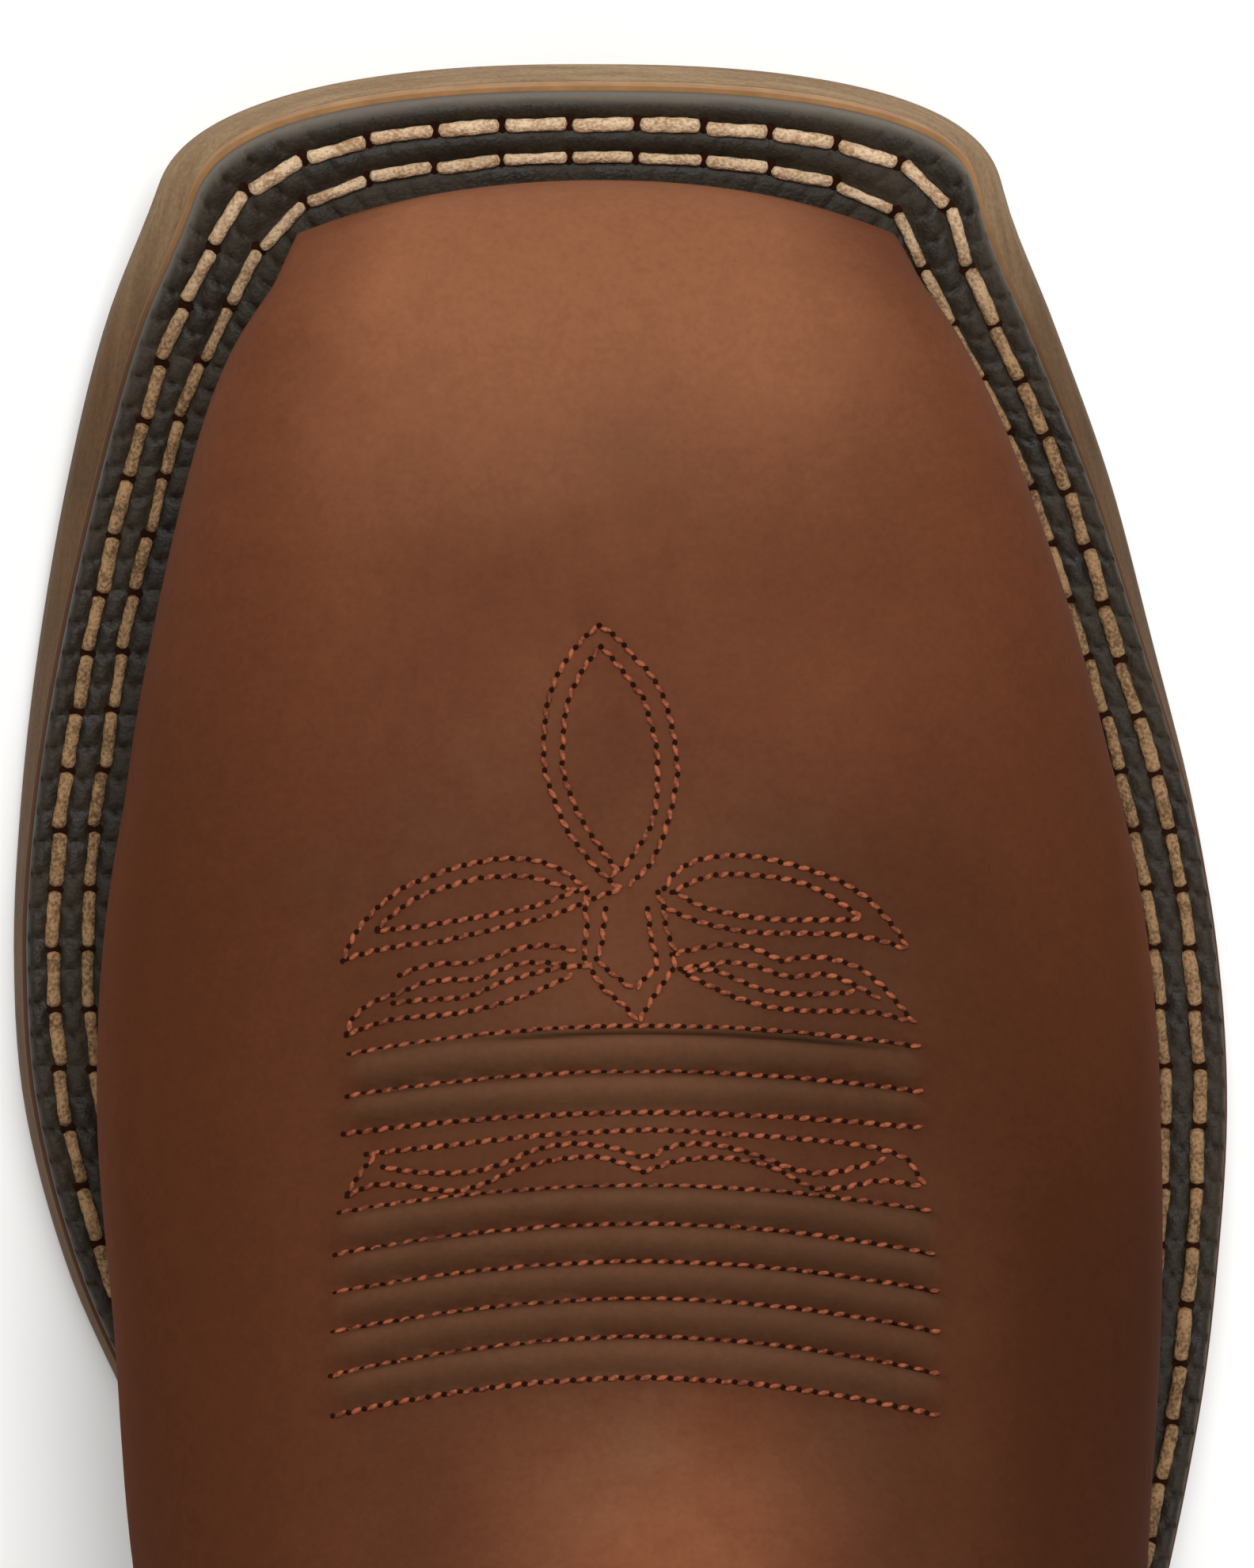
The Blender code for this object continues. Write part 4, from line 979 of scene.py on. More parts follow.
# %% Lines of the pattern
ROW_MIDDLE, ROW_BOW = 810, 1.9
WRINKLE_ROWS = (
    # middle y, left x, left y, right x, right y, as seen in the photograph
    (1296, 441, 1332, 1166, 1323),
    (1354, 439, 1385, 1169, 1380),
    (1405, 434, 1432, 1169, 1425),
    (1498, 429, 1532, 1179, 1531),
    (1546, 424, 1585, 1185, 1586),
    (1594, 424, 1633, 1190, 1633),
    (1641, 421, 1683, 1190, 1684),
    (1689, 418, 1738, 1190, 1737),
    (1740, 421, 1788, 1190, 1789),
)
RIDGES = ((0, 1), (1, 2), (3, 4), (4, 5), (5, 6), (6, 7), (7, 8))
PATTERN = {
    # name of the line: its points in the photograph
    "loop_outer_left": (
        (757, 790), (734, 808), (706, 847), (691, 887), (686, 938), (688, 974), (698, 1005),
        (714, 1046), (732, 1071), (757, 1102), (787, 1125),
    ),
    "loop_outer_right": (
        (757, 790), (782, 806), (799, 829), (821, 849), (836, 875), (844, 898), (852, 933),
        (856, 979), (849, 1020), (836, 1063), (818, 1097), (790, 1122),
    ),
    "loop_inner_left": (
        (759, 817), (740, 839), (727, 862), (715, 892), (711, 928), (710, 966), (715, 989),
        (728, 1023), (742, 1048), (762, 1076), (783, 1104),
    ),
    "loop_inner_right": (
        (759, 817), (778, 836), (795, 859), (813, 882), (822, 913), (829, 938), (831, 974),
        (829, 1020), (821, 1046), (808, 1068), (790, 1094), (767, 1109),
    ),
    "petal_left_top": (
        (433, 1214), (446, 1183), (469, 1153), (507, 1122), (538, 1109), (579, 1094), (632, 1084),
        (665, 1085), (693, 1091), (716, 1102), (739, 1122),
    ),
    "petal_left_low": (
        (438, 1211), (471, 1201), (517, 1193), (553, 1190), (584, 1183), (624, 1174), (665, 1165),
        (701, 1155), (727, 1145), (757, 1132), (788, 1122),
    ),
    "petal_left_top_in": (
        (477, 1173), (502, 1150), (533, 1130), (568, 1119), (604, 1109), (647, 1106), (676, 1108),
        (706, 1119), (732, 1126),
    ),
    "petal_left_low_in": (
        (477, 1176), (502, 1173), (533, 1170), (563, 1165), (604, 1159), (635, 1153), (665, 1148),
        (696, 1138), (721, 1128), (747, 1119),
    ),
    "petal_right_top": (
        (839, 1122), (854, 1099), (880, 1086), (910, 1081), (936, 1080), (966, 1084),
        (1007, 1094), (1038, 1104), (1068, 1116), (1099, 1137), (1119, 1160), (1135, 1178),
        (1147, 1201),
    ),
    "petal_right_low": (
        (839, 1145), (869, 1160), (903, 1170), (936, 1176), (971, 1179), (1012, 1179),
        (1053, 1180), (1089, 1183), (1119, 1189), (1147, 1201),
    ),
    "petal_right_top_in": (
        (849, 1127), (874, 1114), (900, 1105), (931, 1104), (956, 1106), (987, 1109),
        (1017, 1116), (1045, 1130), (1068, 1145), (1089, 1160),
    ),
    "petal_right_low_in": (
        (854, 1127), (869, 1137), (890, 1147), (920, 1154), (951, 1159), (982, 1162),
        (1012, 1162), (1043, 1162), (1073, 1162), (1091, 1160),
    ),
    "shield_left": (
        (742, 1127), (739, 1150), (743, 1178), (734, 1204), (747, 1224), (757, 1244), (778, 1262),
        (793, 1275), (805, 1293),
    ),
    "shield_right": (
        (831, 1127), (839, 1148), (841, 1173), (853, 1204), (849, 1229), (831, 1250), (816, 1275),
        (805, 1293),
    ),
    "shield_left_in": (
        (765, 1148), (762, 1173), (760, 1199), (752, 1214), (780, 1234), (801, 1252),
    ),
    "shield_right_in": (
        (818, 1148), (821, 1173), (823, 1193), (834, 1219), (816, 1234), (801, 1252),
    ),
    "leaf_left_1": (
        (505, 1232), (528, 1222), (553, 1217), (589, 1217), (624, 1209), (650, 1199), (686, 1193),
        (716, 1198), (732, 1203),
    ),
    "leaf_left_2": (
        (438, 1306), (446, 1285), (468, 1266), (510, 1252), (533, 1242), (563, 1237), (604, 1238),
        (619, 1232), (645, 1219), (676, 1215), (706, 1216), (732, 1224),
    ),
    "leaf_left_3": (
        (497, 1267), (522, 1264), (553, 1262), (579, 1261), (604, 1255), (630, 1242), (665, 1232),
        (706, 1222), (752, 1219),
    ),
    "leaf_left_4": (
        (438, 1308), (466, 1296), (502, 1286), (538, 1284), (573, 1281), (604, 1275), (635, 1267),
        (665, 1257), (696, 1244), (727, 1230),
    ),
    "leaf_right_1": (
        (849, 1206), (874, 1199), (910, 1193), (941, 1194), (961, 1201), (987, 1214),
        (1012, 1209), (1038, 1208), (1063, 1214), (1089, 1224), (1119, 1250), (1140, 1275),
        (1158, 1296),
    ),
    "leaf_right_2": (
        (859, 1224), (890, 1219), (920, 1215), (951, 1219), (977, 1229), (992, 1235),
        (1022, 1232), (1043, 1230), (1068, 1238), (1099, 1255), (1114, 1265),
    ),
    "leaf_right_3": (
        (864, 1227), (900, 1224), (931, 1237), (956, 1249), (987, 1256), (1022, 1256),
        (1053, 1255), (1084, 1252),
    ),
    "leaf_right_4": (
        (869, 1232), (900, 1247), (931, 1261), (961, 1270), (997, 1276), (1033, 1277),
        (1073, 1277), (1114, 1280), (1150, 1291),
    ),
    "braid_top": (
        (463, 1458), (505, 1453), (557, 1448), (609, 1442), (661, 1436), (714, 1432), (766, 1429),
        (818, 1427), (871, 1429), (923, 1433), (975, 1436), (1028, 1440), (1080, 1445),
        (1122, 1453), (1148, 1466), (1169, 1500),
    ),
    "braid_low": (
        (439, 1511), (468, 1496), (505, 1496), (546, 1503), (578, 1505), (609, 1497), (630, 1487),
        (661, 1474), (693, 1466), (724, 1462), (756, 1461), (787, 1469), (815, 1482), (839, 1470),
        (871, 1464), (902, 1462), (933, 1464), (965, 1471), (996, 1484), (1018, 1499),
        (1038, 1503), (1069, 1500), (1101, 1492), (1132, 1492), (1166, 1500),
    ),
    "braid_high": (
        (484, 1474), (510, 1479), (546, 1482), (583, 1482), (614, 1477), (646, 1466), (670, 1454),
        (693, 1448), (724, 1444), (766, 1448), (797, 1456), (815, 1466), (845, 1448), (871, 1444),
        (897, 1445), (923, 1450), (954, 1458), (981, 1469), (1001, 1477), (1033, 1484),
        (1064, 1479), (1096, 1471), (1122, 1463),
    ),
    "braid_end": (
        (439, 1508), (450, 1490), (462, 1473), (478, 1458),
    ),
}


def row_y(row, x):
    """Height in the photograph of a wrinkle row at x: flat in its middle, lower at its ends."""
    middle, left, left_y, right, right_y = row
    x = np.asarray(x, float)
    end_x = np.where(x < ROW_MIDDLE, left, right)
    end_y = np.where(x < ROW_MIDDLE, left_y, right_y)
    return middle + (end_y - middle) * np.abs((x - ROW_MIDDLE) / (end_x - ROW_MIDDLE)) ** ROW_BOW


def paced(points, pace):
    """Points at even distances along a smooth line through the given ones."""
    points = np.array(points, float)
    return resample(points, max(2, round(run_along(points)[-1] / pace)))


NEEDLE_PACE, ROW_POINTS = 20.5, 60  # px from hole to hole, points that draw a row
pattern_lines = [paced(points, NEEDLE_PACE) for points in PATTERN.values()]
for row in WRINKLE_ROWS:
    xs = np.linspace(row[1], row[3], ROW_POINTS)
    pattern_lines.append(paced(np.column_stack((xs, row_y(row, xs))), NEEDLE_PACE))
print("lines of stitches:", len(pattern_lines))

# %% [markdown]
# ## The upper
#
# The leather is one sheet, pulled over the last. Sections fan from the toe, where they stand
# on the welt, over the instep to the heel, and go on as rings up the shaft. Each section is
# drawn from its ridge down to both feet, with a curve that can be full or flat, so that the
# broad square toe, the round instep and the oval shaft come from the same few numbers.

# %% Sections of the upper
UNDERSIDE_POWER, NEARLY_WIDEST = 2.2, 0.999
COLUMNS, CURVE_STEPS = 104, 90
SCALLOP, SCALLOP_START = 0.020, 0.72
CORNER = CAP_STEPS * 4 // 7  # outline point where the toe edge ends
ROW_SPACING = (
    # rows up to this share of the length, are this share apart
    (0.0640, 0.0012),
    (0.1000, 0.0028),
    (0.2050, 0.0050),
    (0.4750, 0.0015),
    (0.9860, 0.0100),
)
TOE_WALL_ROWS, TOE_BULGE, RING_STEP = 8, 0.0002, 0.25

rim = on_sole(sole_loop(feather_depth), SEAT)
half = len(rim) // 2
medial_rim, lateral_rim = rim[: half + 1], np.vstack((rim[:1], rim[half:][::-1]))
rim_shares = medial_rim[:, 1] / LENGTH + 0.5


def section_curve(feet, top, medial, lateral, belly, power, bow=0.0):
    """A section from the medial foot over the top to the lateral foot; bow sets its sides back."""
    sides = []
    half_way = np.linspace(0, 1, CURVE_STEPS // 2, endpoint=False) ** (power / 2) / 2
    up = math.pi / 2 * np.concatenate((half_way, 1 - half_way[::-1]))
    for widest, foot in ((medial, feet[0]), (lateral, feet[1])):
        reach = widest - top[0]
        share = min(abs((foot[0] - top[0]) / reach), NEARLY_WIDEST)
        turn = math.acos(share ** (UNDERSIDE_POWER / 2))
        drop = belly / math.sin(turn) ** (2 / UNDERSIDE_POWER)
        down = np.linspace(0, turn, CURVE_STEPS // 2)[1:]
        across = [np.sin(up) ** (2 / power), np.cos(down) ** (2 / UNDERSIDE_POWER)]
        height = [belly + (1 - belly) * np.cos(up) ** (2 / power),
                  belly - drop * np.sin(down) ** (2 / UNDERSIDE_POWER)]
        across, height = np.concatenate(across), np.concatenate(height)
        line = foot + (top - foot) * height[:, None]
        line[:, 0] = top[0] + reach * across
        line[:, 1] += bow * across**2 * np.sqrt(np.clip(height, 0, 1))
        sides.append(resample(line, COLUMNS // 2))
    return np.vstack((sides[0][::-1], sides[1][1:]))


def open_section(share):
    """Section that stands on the welt at a share of the length."""
    feet = [np.array([np.interp(share, rim_shares, side[:, k]) for k in range(3)])
            for side in (medial_rim, lateral_rim)]
    ridge, rise, axis, medial, lateral, belly, power, bow = (
        through(FOOT_SECTIONS, k, share) for k in range(1, 9))
    top = np.array((axis * HALF_BALL, ridge * LENGTH - LENGTH / 2, STACK + rise * INSTEP_RISE))
    return section_curve(feet, top, max(medial * HALF_BALL, feet[0][0]),
                         min(-lateral * HALF_BALL, feet[1][0]), belly, power, bow * LENGTH)


def closed_section(number):
    """Ring of the shaft; broken numbers lie between the rows of the table."""
    low = HEEL_RISE + SEAT
    back, back_z, fore, fore_z, medial, lateral, belly, power = (
        through(SHAFT_SECTIONS, k, number) for k in range(1, 9))
    foot, top = (
        np.array((HEEL_AXIS, share * LENGTH - LENGTH / 2, low + (SHAFT_HEIGHT - low) * height))
        for share, height in ((back, back_z), (fore, fore_z)))
    ring = section_curve((foot, foot), top, medial * HALF_BALL, -lateral * HALF_BALL, belly, power)
    collar_back, collar_front = SHAFT_SECTIONS[-1][1], SHAFT_SECTIONS[-1][3]
    middle = (collar_back + collar_front - 1) / 2 * LENGTH
    along = np.abs(ring[:, 1] - middle) / ((collar_back - collar_front) / 2 * LENGTH)
    start = SCALLOP_START * SHAFT_HEIGHT
    share = smoothstep((ring[:, 2] - start) / (SHAFT_HEIGHT - start))
    ring[:, 2] += SCALLOP * share * (1 - np.clip(along, 0, 1) ** 2)
    return ring


shares = [rim_shares[CORNER + 1]]
for limit, spacing in ROW_SPACING:
    count = max(1, round((limit - shares[-1]) / spacing))
    shares += list(np.linspace(shares[-1], limit, count + 1)[1:])
leather_rows = [open_section(share) for share in shares]
toe_edge = resample(np.vstack((medial_rim[CORNER:0:-1], lateral_rim[: CORNER + 1])), COLUMNS)
toe_wall = []
for step in range(TOE_WALL_ROWS):
    share = step / TOE_WALL_ROWS
    row = toe_edge + (leather_rows[0] - toe_edge) * share
    row[:, 1] -= TOE_BULGE * math.sin(math.pi * share)
    toe_wall.append(row)
ring_numbers = np.arange(0, SHAFT_SECTIONS[-1][0] + RING_STEP / 2, RING_STEP)
rings = [closed_section(number) for number in ring_numbers]
leather_rows = np.array(toe_wall + leather_rows + rings)
first_ring = len(leather_rows) - len(rings)
print("leather sections:", len(leather_rows), "of which rings:", len(rings))


def wall_normals(rows):
    """Outward direction of the leather at every point."""
    down, across = np.gradient(rows, axis=0), np.gradient(rows, axis=1)
    wrap = (rows[first_ring:, 1] - rows[first_ring:, -2]) / 2
    across[first_ring:, 0] = across[first_ring:, -1] = wrap
    seam = (down[first_ring:, 0] + down[first_ring:, -1]) / 2
    down[first_ring:, 0] = down[first_ring:, -1] = seam
    normal = np.cross(down, across)
    return normal / np.maximum(np.linalg.norm(normal, axis=2), 1e-12)[:, :, None]


normals = wall_normals(leather_rows)

# %% [markdown]
# ## Padded wrinkles and sunk seams
#
# Over the joint of the foot the leather is padded between the rows of stitching, so that it
# folds there and nowhere else. The ridges are soft waves raised by a given height, with a
# crease under the first row, and the leather sinks a little along every stitched line.

# %% Padded wrinkles and sunk seams
RIDGE_HEIGHT, RIDGE_POWER, RIDGE_FULL = 0.0017, 1.2, 1.8
RIDGE_SKEW = 0.80  # below 1 moves the crest of a ridge towards the toe
RIDGE_OVER, RIDGE_FADE = 20, 60  # px: how far the ridges run past their stitches, and fade
# painted shade at the foot of each ridge: how far above its lower stitches, and how wide
TROUGH_ABOVE, TROUGH_WIDTH = 9, 10  # px: the dark foot of each ridge, above its lower stitches
CREASE_BELOW, CREASE_WIDTH, CREASE_DEPTH = 12, 6, 0.0006  # px, px and m
CREASE_ENDS, CREASE_FADE = (580, 1150), 120  # px
SEAM_SINK, SEAM_WIDTH, SEAM_STEP = 0.00028, 9.0, 6  # m, px and px
FACING, PATTERN_TOP, PATTERN_LOW = 0.15, 750, 1850  # leather that the camera sees, px
FOOT_TOP = 0.12  # m above the floor: higher leather is left even
AT_ONCE = 2000  # points measured in one go
flat = leather_rows.reshape(-1, 3)
px, py = seen_at(flat)
facing = normals.reshape(-1, 3) @ np.array(BACK)
on_foot = flat[:, 2] < FOOT_TOP
seen = (facing > FACING) & (py > PATTERN_TOP) & (py < PATTERN_LOW) & on_foot
raised, ridge_paint, trough_shade = np.zeros(len(flat)), np.zeros(len(flat)), np.zeros(len(flat))
for low, high in RIDGES:
    top_y, low_y = row_y(WRINKLE_ROWS[low], px), row_y(WRINKLE_ROWS[high], px)
    share = np.clip((py - top_y) / (low_y - top_y), 0, 1)
    left, right = (WRINKLE_ROWS[high][k] for k in (1, 3))
    ends = smoothstep((px - left + RIDGE_OVER) / RIDGE_FADE)
    ends *= smoothstep((right + RIDGE_OVER - px) / RIDGE_FADE)
    pad = np.sin(math.pi * share**RIDGE_SKEW) ** RIDGE_POWER * ends * seen
    raised += RIDGE_HEIGHT * pad
    ridge_paint = np.maximum(ridge_paint, np.minimum(pad * RIDGE_FULL, 1.0) * ends)
    # painted shade at the foot of the ridge, just above the next row of stitches
    foot = np.exp(-(((py - low_y + TROUGH_ABOVE) / TROUGH_WIDTH) ** 2))
    trough_shade = np.maximum(trough_shade, foot * ends * seen)
crease_y = row_y(WRINKLE_ROWS[0], px) + CREASE_BELOW
crease = np.exp(-(((py - crease_y) / CREASE_WIDTH) ** 2)) * seen
for past_end in (px - CREASE_ENDS[0], CREASE_ENDS[1] - px):
    crease *= smoothstep(past_end / CREASE_FADE)
raised -= CREASE_DEPTH * crease
seam_points = np.vstack([paced(line, SEAM_STEP) for line in pattern_lines])
near = np.full(len(flat), np.inf)
which = np.flatnonzero(seen)
for start in range(0, len(which), AT_ONCE):
    chosen = which[start:start + AT_ONCE]
    gap = np.hypot(px[chosen, None] - seam_points[:, 0], py[chosen, None] - seam_points[:, 1])
    near[chosen] = gap.min(axis=1)
raised -= SEAM_SINK * np.exp(-((near / SEAM_WIDTH) ** 2))
shaped_rows = leather_rows + normals * raised.reshape(leather_rows.shape[:2])[:, :, None]
print("raised points:", int((raised > 0.0001).sum()))

# %% [markdown]
# ## The leather sheet
#
# The upper is cut, dyed and waxed before it is lasted, and its colour changes where it is
# stretched or handled: redder on the toe, dark wax on the wrinkles. Light and shade are painted
# on it as well: a painted highlight on the toe, painted shade down the sides, painted light and
# shade in bands and spots over the foot, on the ridges and in the crease. All these are painted
# on the sheet's points, as soft bands and spots, and the leather's material reads them. A
# Solidify modifier then gives the sheet its wall and lining.

# %% Leather sheet with its wall
# Bands: where the change starts and over what length, in metres from the toe or from the
# floor, or in shares of the boot's half width, 0 at its middle and 1 at its outline.
TOE_ALONG, TOE_ACROSS = (0.018, 0.040), (0.35, 0.60)
INSTEP_ALONG, INSTEP_ACROSS = (0.120, 0.020), (0.0, 0.5)
SIDE_SHADE_ALONG, SIDE_SHADE_ACROSS = (0.030, 0.065), (0.30, 0.60)
BALL_ALONG, BEHIND_BALL = (0.060, 0.025), (0.075, 0.050)
MIDDLE_ACROSS = (0.4, 0.4)
LATERAL_FROM, LATERAL_TO, LATERAL_EDGE = (0.0, 0.35), (0.6, 0.3), (0.55, 0.25)
MEDIAL_EDGE, RIM_ACROSS, RIM_HEIGHT = (0.45, 0.25), (0.94, 0.06), (0.03, 0.03)
SHAFT_UP = (0.060, 0.130)
# Strengths of what is painted in those bands: colour, wax, painted light and painted shade.
TOE_RED_AND_LIGHT, TOE_LOSS, TOE_SIDE_LOSS = 1.05, 0.90, 0.75
SIDE_SHADE, SIDE_SHADE_AT_TOE = 0.95, 0.25
MIDDLE_SHADE, INSTEP_LIGHT, LATERAL_SHADE, MEDIAL_LIGHT, RIM_LIGHT = 0.24, 1.0, 0.16, 0.20, 0.40
LATERAL_EDGE_LIGHT, LATERAL_EDGE_SHADE = 0.15, 0.35
RIDGE_WAX, RIDGE_LIGHT, TROUGH_SHADE, CREASE_SHADOW = 0.8, 0.18, 0.18, 0.70
# on the shaft the toe's colour and highlight, the painted side shade and the painted light are all
# set even
SHAFT_RED, SHAFT_SIDE_SHADE, SHAFT_LIGHT = 0.20, 0.40, 1.02  # the shaft is even in colour
SMUDGES = (
    # x and y in the photograph, radius in px, strength of the dark wax
    (790, 530, 80, 0.18), (850, 600, 70, 0.14), (735, 590, 90, 0.10), (620, 620, 120, 0.06),
    (560, 985, 100, 0.28), (372, 1100, 62, 0.30), (425, 1165, 70, 0.20), (765, 930, 80, 0.16),
    (1005, 1030, 120, 0.24), (1075, 1240, 80, 0.24), (560, 1270, 110, 0.18),
    (1095, 1830, 90, 0.36), (480, 1750, 120, 0.18), (1180, 1560, 90, 0.14),
    (800, 1240, 260, 0.22), (800, 1470, 340, 0.28), (800, 1850, 200, 0.35),
)
SHADES = (
    # x and y in the photograph, radius in px, share of the light taken, or given if below 0
    (800, 545, 80, 0.05), (780, 940, 100, 0.14), (640, 700, 120, 0.04), (365, 1105, 60, 0.09),
    (790, 1195, 110, -0.14), (760, 1330, 140, -0.12), (1060, 900, 120, -0.08),
)


def band(value, start, over):
    """0 up to start, then a soft rise to 1."""
    return smoothstep((value - start) / over)


def spots(table):
    """Soft round spots on the foot, added up."""
    total = np.zeros(len(flat))
    for x, y, radius, strength in table:
        total += strength * np.exp(-((px - x) ** 2 + (py - y) ** 2) / radius**2)
    return total * on_foot


low_x, high_x = leather_rows[:, :, 0].min(axis=1), leather_rows[:, :, 0].max(axis=1)
middle_x, half_width = (high_x + low_x) / 2, (high_x - low_x) / 2
lateral = ((middle_x[:, None] - leather_rows[:, :, 0]) / half_width[:, None]).reshape(-1)
out = np.abs(lateral)
station = flat[:, 1] + LENGTH / 2
ball = band(station, *BALL_ALONG)

wax = ridge_paint * RIDGE_WAX + spots(SMUDGES)
# toe: redder leather with a painted highlight, fading back along the foot and out to the sides
toe = TOE_RED_AND_LIGHT - TOE_LOSS * band(station, *TOE_ALONG)
toe *= 1 - TOE_SIDE_LOSS * band(out, *TOE_ACROSS)
# painted shade down the sides, weaker at the toe
side = SIDE_SHADE_AT_TOE + (1 - SIDE_SHADE_AT_TOE) * band(station, *SIDE_SHADE_ALONG)
side *= band(out, *SIDE_SHADE_ACROSS) * SIDE_SHADE
# painted light and shade: darker over and behind the ball, lighter up the instep and at the medial
# edge, darker towards the lateral side, the lateral edge lighter before the ball and darker behind
# it, and the low rim lighter
tone = 1 - MIDDLE_SHADE * ball * (1 - band(out, *MIDDLE_ACROSS))
tone += INSTEP_LIGHT * band(station, *INSTEP_ALONG) * (1 - band(out, *INSTEP_ACROSS))
tone -= LATERAL_SHADE * ball * band(lateral, *LATERAL_FROM) * (1 - band(lateral, *LATERAL_TO))
tone += MEDIAL_LIGHT * band(-lateral, *MEDIAL_EDGE)
lateral_edge_light = LATERAL_EDGE_LIGHT - LATERAL_EDGE_SHADE * band(station, *BEHIND_BALL)
tone += lateral_edge_light * band(lateral, *LATERAL_EDGE)
tone += RIM_LIGHT * band(out, *RIM_ACROSS) * ball * (1 - band(flat[:, 2], *RIM_HEIGHT))
# painted light in spots and on the padded ridges, painted shade in spots and at the feet of the
# ridges, and a painted shadow in the crease
tone *= (1 - spots(SHADES)) * (1 + RIDGE_LIGHT * ridge_paint)
tone *= (1 - TROUGH_SHADE * trough_shade) * (1 - CREASE_SHADOW * crease)
on_shaft = band(flat[:, 2], *SHAFT_UP)
toe, side, tone = (value + (even - value) * on_shaft for value, even in
                   ((toe, SHAFT_RED), (side, SHAFT_SIDE_SHADE), (tone, SHAFT_LIGHT)))
upper = grid_sheet("upper_leather", shaped_rows)
for name, values in (("toe", toe), ("wax", wax), ("side", side), ("tone", tone)):
    paint_points(upper, name, values)
edit(upper, merge(), bpy.ops.mesh.flip_normals)
upper.data.materials.append(LEATHER)
upper.data.materials.append(LINING)
apply_modifier(upper, "SOLIDIFY", thickness=WALL, offset=-1.0, use_even_offset=False,
               use_rim=True, material_offset=1)
finish_piece(upper, "upper", None, 55)
lined = sum(face.material_index == 1 for face in upper.data.polygons)
print("faces of the lining:", lined)


def search_tree(rows):
    """Rows of points as a sheet that lines of sight can be stopped by."""
    width = rows.shape[1]
    faces = [(i, i + 1, i + width + 1, i + width) for r in range(len(rows) - 1)
             for i in range(r * width, (r + 1) * width - 1)]
    return BVHTree.FromPolygons([Vector(p) for p in rows.reshape(-1, 3)], faces)


leather = search_tree(shaped_rows)

# %% [markdown]
# ## The thread of the upper
#
# The pattern is sewn in a fine waxed thread, a shade redder than the leather. Every stitch
# is a small drawn-out sphere laid on the leather along its line, turned a little, as a
# lockstitch is, and every needle hole is a dark pit, which also stands in for the shade
# round the thread's ends.

# %% Stitches of the pattern
FINE_THICK, FINE_FLAT, FINE_SHARE, FINE_LIFT = 0.00027, 0.8, 0.80, 0.00012
FINE_TURN, FINE_SPREAD = 0.34, 0.05
HOLE_SIZE, HOLE_LIFT = (0.00030, 0.00027, 0.00010), 0.00012


def on_leather(x, y):
    """Point of the leather seen at (x, y) of the photograph, and the way it faces."""
    point, normal, _, _ = leather.ray_cast(EYE, sight(x, y))
    return (point, normal if normal.dot(BACK) > 0 else -normal) if point else (None, None)


def lay_stitches(lines):
    """A stitch from each spot of a line to the next, and a needle hole at each."""
    stitches, pits = [], []
    for line in lines:
        for (start, facing_a), (end, facing_b) in zip(line, line[1:]):
            if start is None or end is None:
                continue
            up = (facing_a + facing_b).normalized()
            along = end - start
            side = up.cross(along).normalized()
            turn = FINE_TURN + random.uniform(-FINE_SPREAD, FINE_SPREAD)
            centre = (start + end) / 2 + up * FINE_LIFT
            size = (along.length / 2 * FINE_SHARE, FINE_THICK, FINE_THICK * FINE_FLAT)
            stitches.append((centre, along.normalized() + side * turn, up, size))
            pits.append((start + up * HOLE_LIFT, along, up, HOLE_SIZE))
    return stitches, pits


fine, fine_faces = template("fine", sphere(8, 6), 1.0)
fine_pit, fine_pit_faces = template("fine_pit", sphere(6, 4), 1.0)
stitches, pits = lay_stitches([[on_leather(x, y) for x, y in line] for line in pattern_lines])
finish_piece(scatter("pattern_thread", [fine], fine_faces, stitches), None, THREAD, 60)
finish_piece(scatter("pattern_holes", [fine_pit], fine_pit_faces, pits), None, HOLE_SHADE, 60)
print("pattern stitches:", len(stitches))

# %% [markdown]
# ## Heel counter
#
# The counter is an outside piece of leather, moulded over the heel and sewn on with two rows
# of thread along its edge. The photograph doesn't show it, so it is cut plainly: the upper's
# own sheet, moved out by the gap, thickened, and kept where a block with the edge's outline
# crosses it.

# %% Heel counter
COUNTER_THICK, COUNTER_GAP = 0.0016, 0.0004
COUNTER_EDGE = (
    # station as a share of LENGTH, height above the heel's welt as a share of INSTEP_RISE
    (0.690, -0.300), (0.715, 0.220), (0.770, 0.420), (0.850, 0.540), (0.930, 0.640), (1.020, 0.700),
)
COUNTER_FROM, COUNTER_RINGS, COUNTER_STEPS, COUNTER_MIDDLE = 0.60, 33, 40, 0.724
CUTTER_HALF, TURNS, TURN_TRIES = 0.09, 121, 6
SEAM_ROWS, SEAM_PACE = (0.0026, 0.0050), 0.0016


def seam_height(station, below):
    """Height of the counter's edge, or of a row of thread below it."""
    return HEEL_RISE + SEAT + through(COUNTER_EDGE, 1, station / LENGTH) * INSTEP_RISE - below


def on_counter(turn, below):
    """Point of the counter, a distance below its edge; turn goes round the heel."""
    heading = Vector((math.sin(turn), math.cos(turn), 0.0))
    station = LENGTH * COUNTER_MIDDLE
    for _ in range(TURN_TRIES):
        eye = Vector((HEEL_AXIS, LENGTH * (COUNTER_MIDDLE - 0.5), seam_height(station, below)))
        point, normal, _, _ = leather.ray_cast(eye, heading)
        station = point.y + LENGTH / 2
    facing = normal if normal.dot(heading) > 0 else -normal
    return point + facing * (COUNTER_GAP + COUNTER_THICK), facing


def spaced(spots, pace):
    """Spots, each a point and the way it faces, at even distances along a line of them."""
    line = np.array([[*point, *facing] for point, facing in spots])
    run = run_along(line[:, :3])
    line = resample(line, max(2, round(run[-1] / pace)), run)
    return [(Vector(row[:3]), Vector(row[3:])) for row in line]


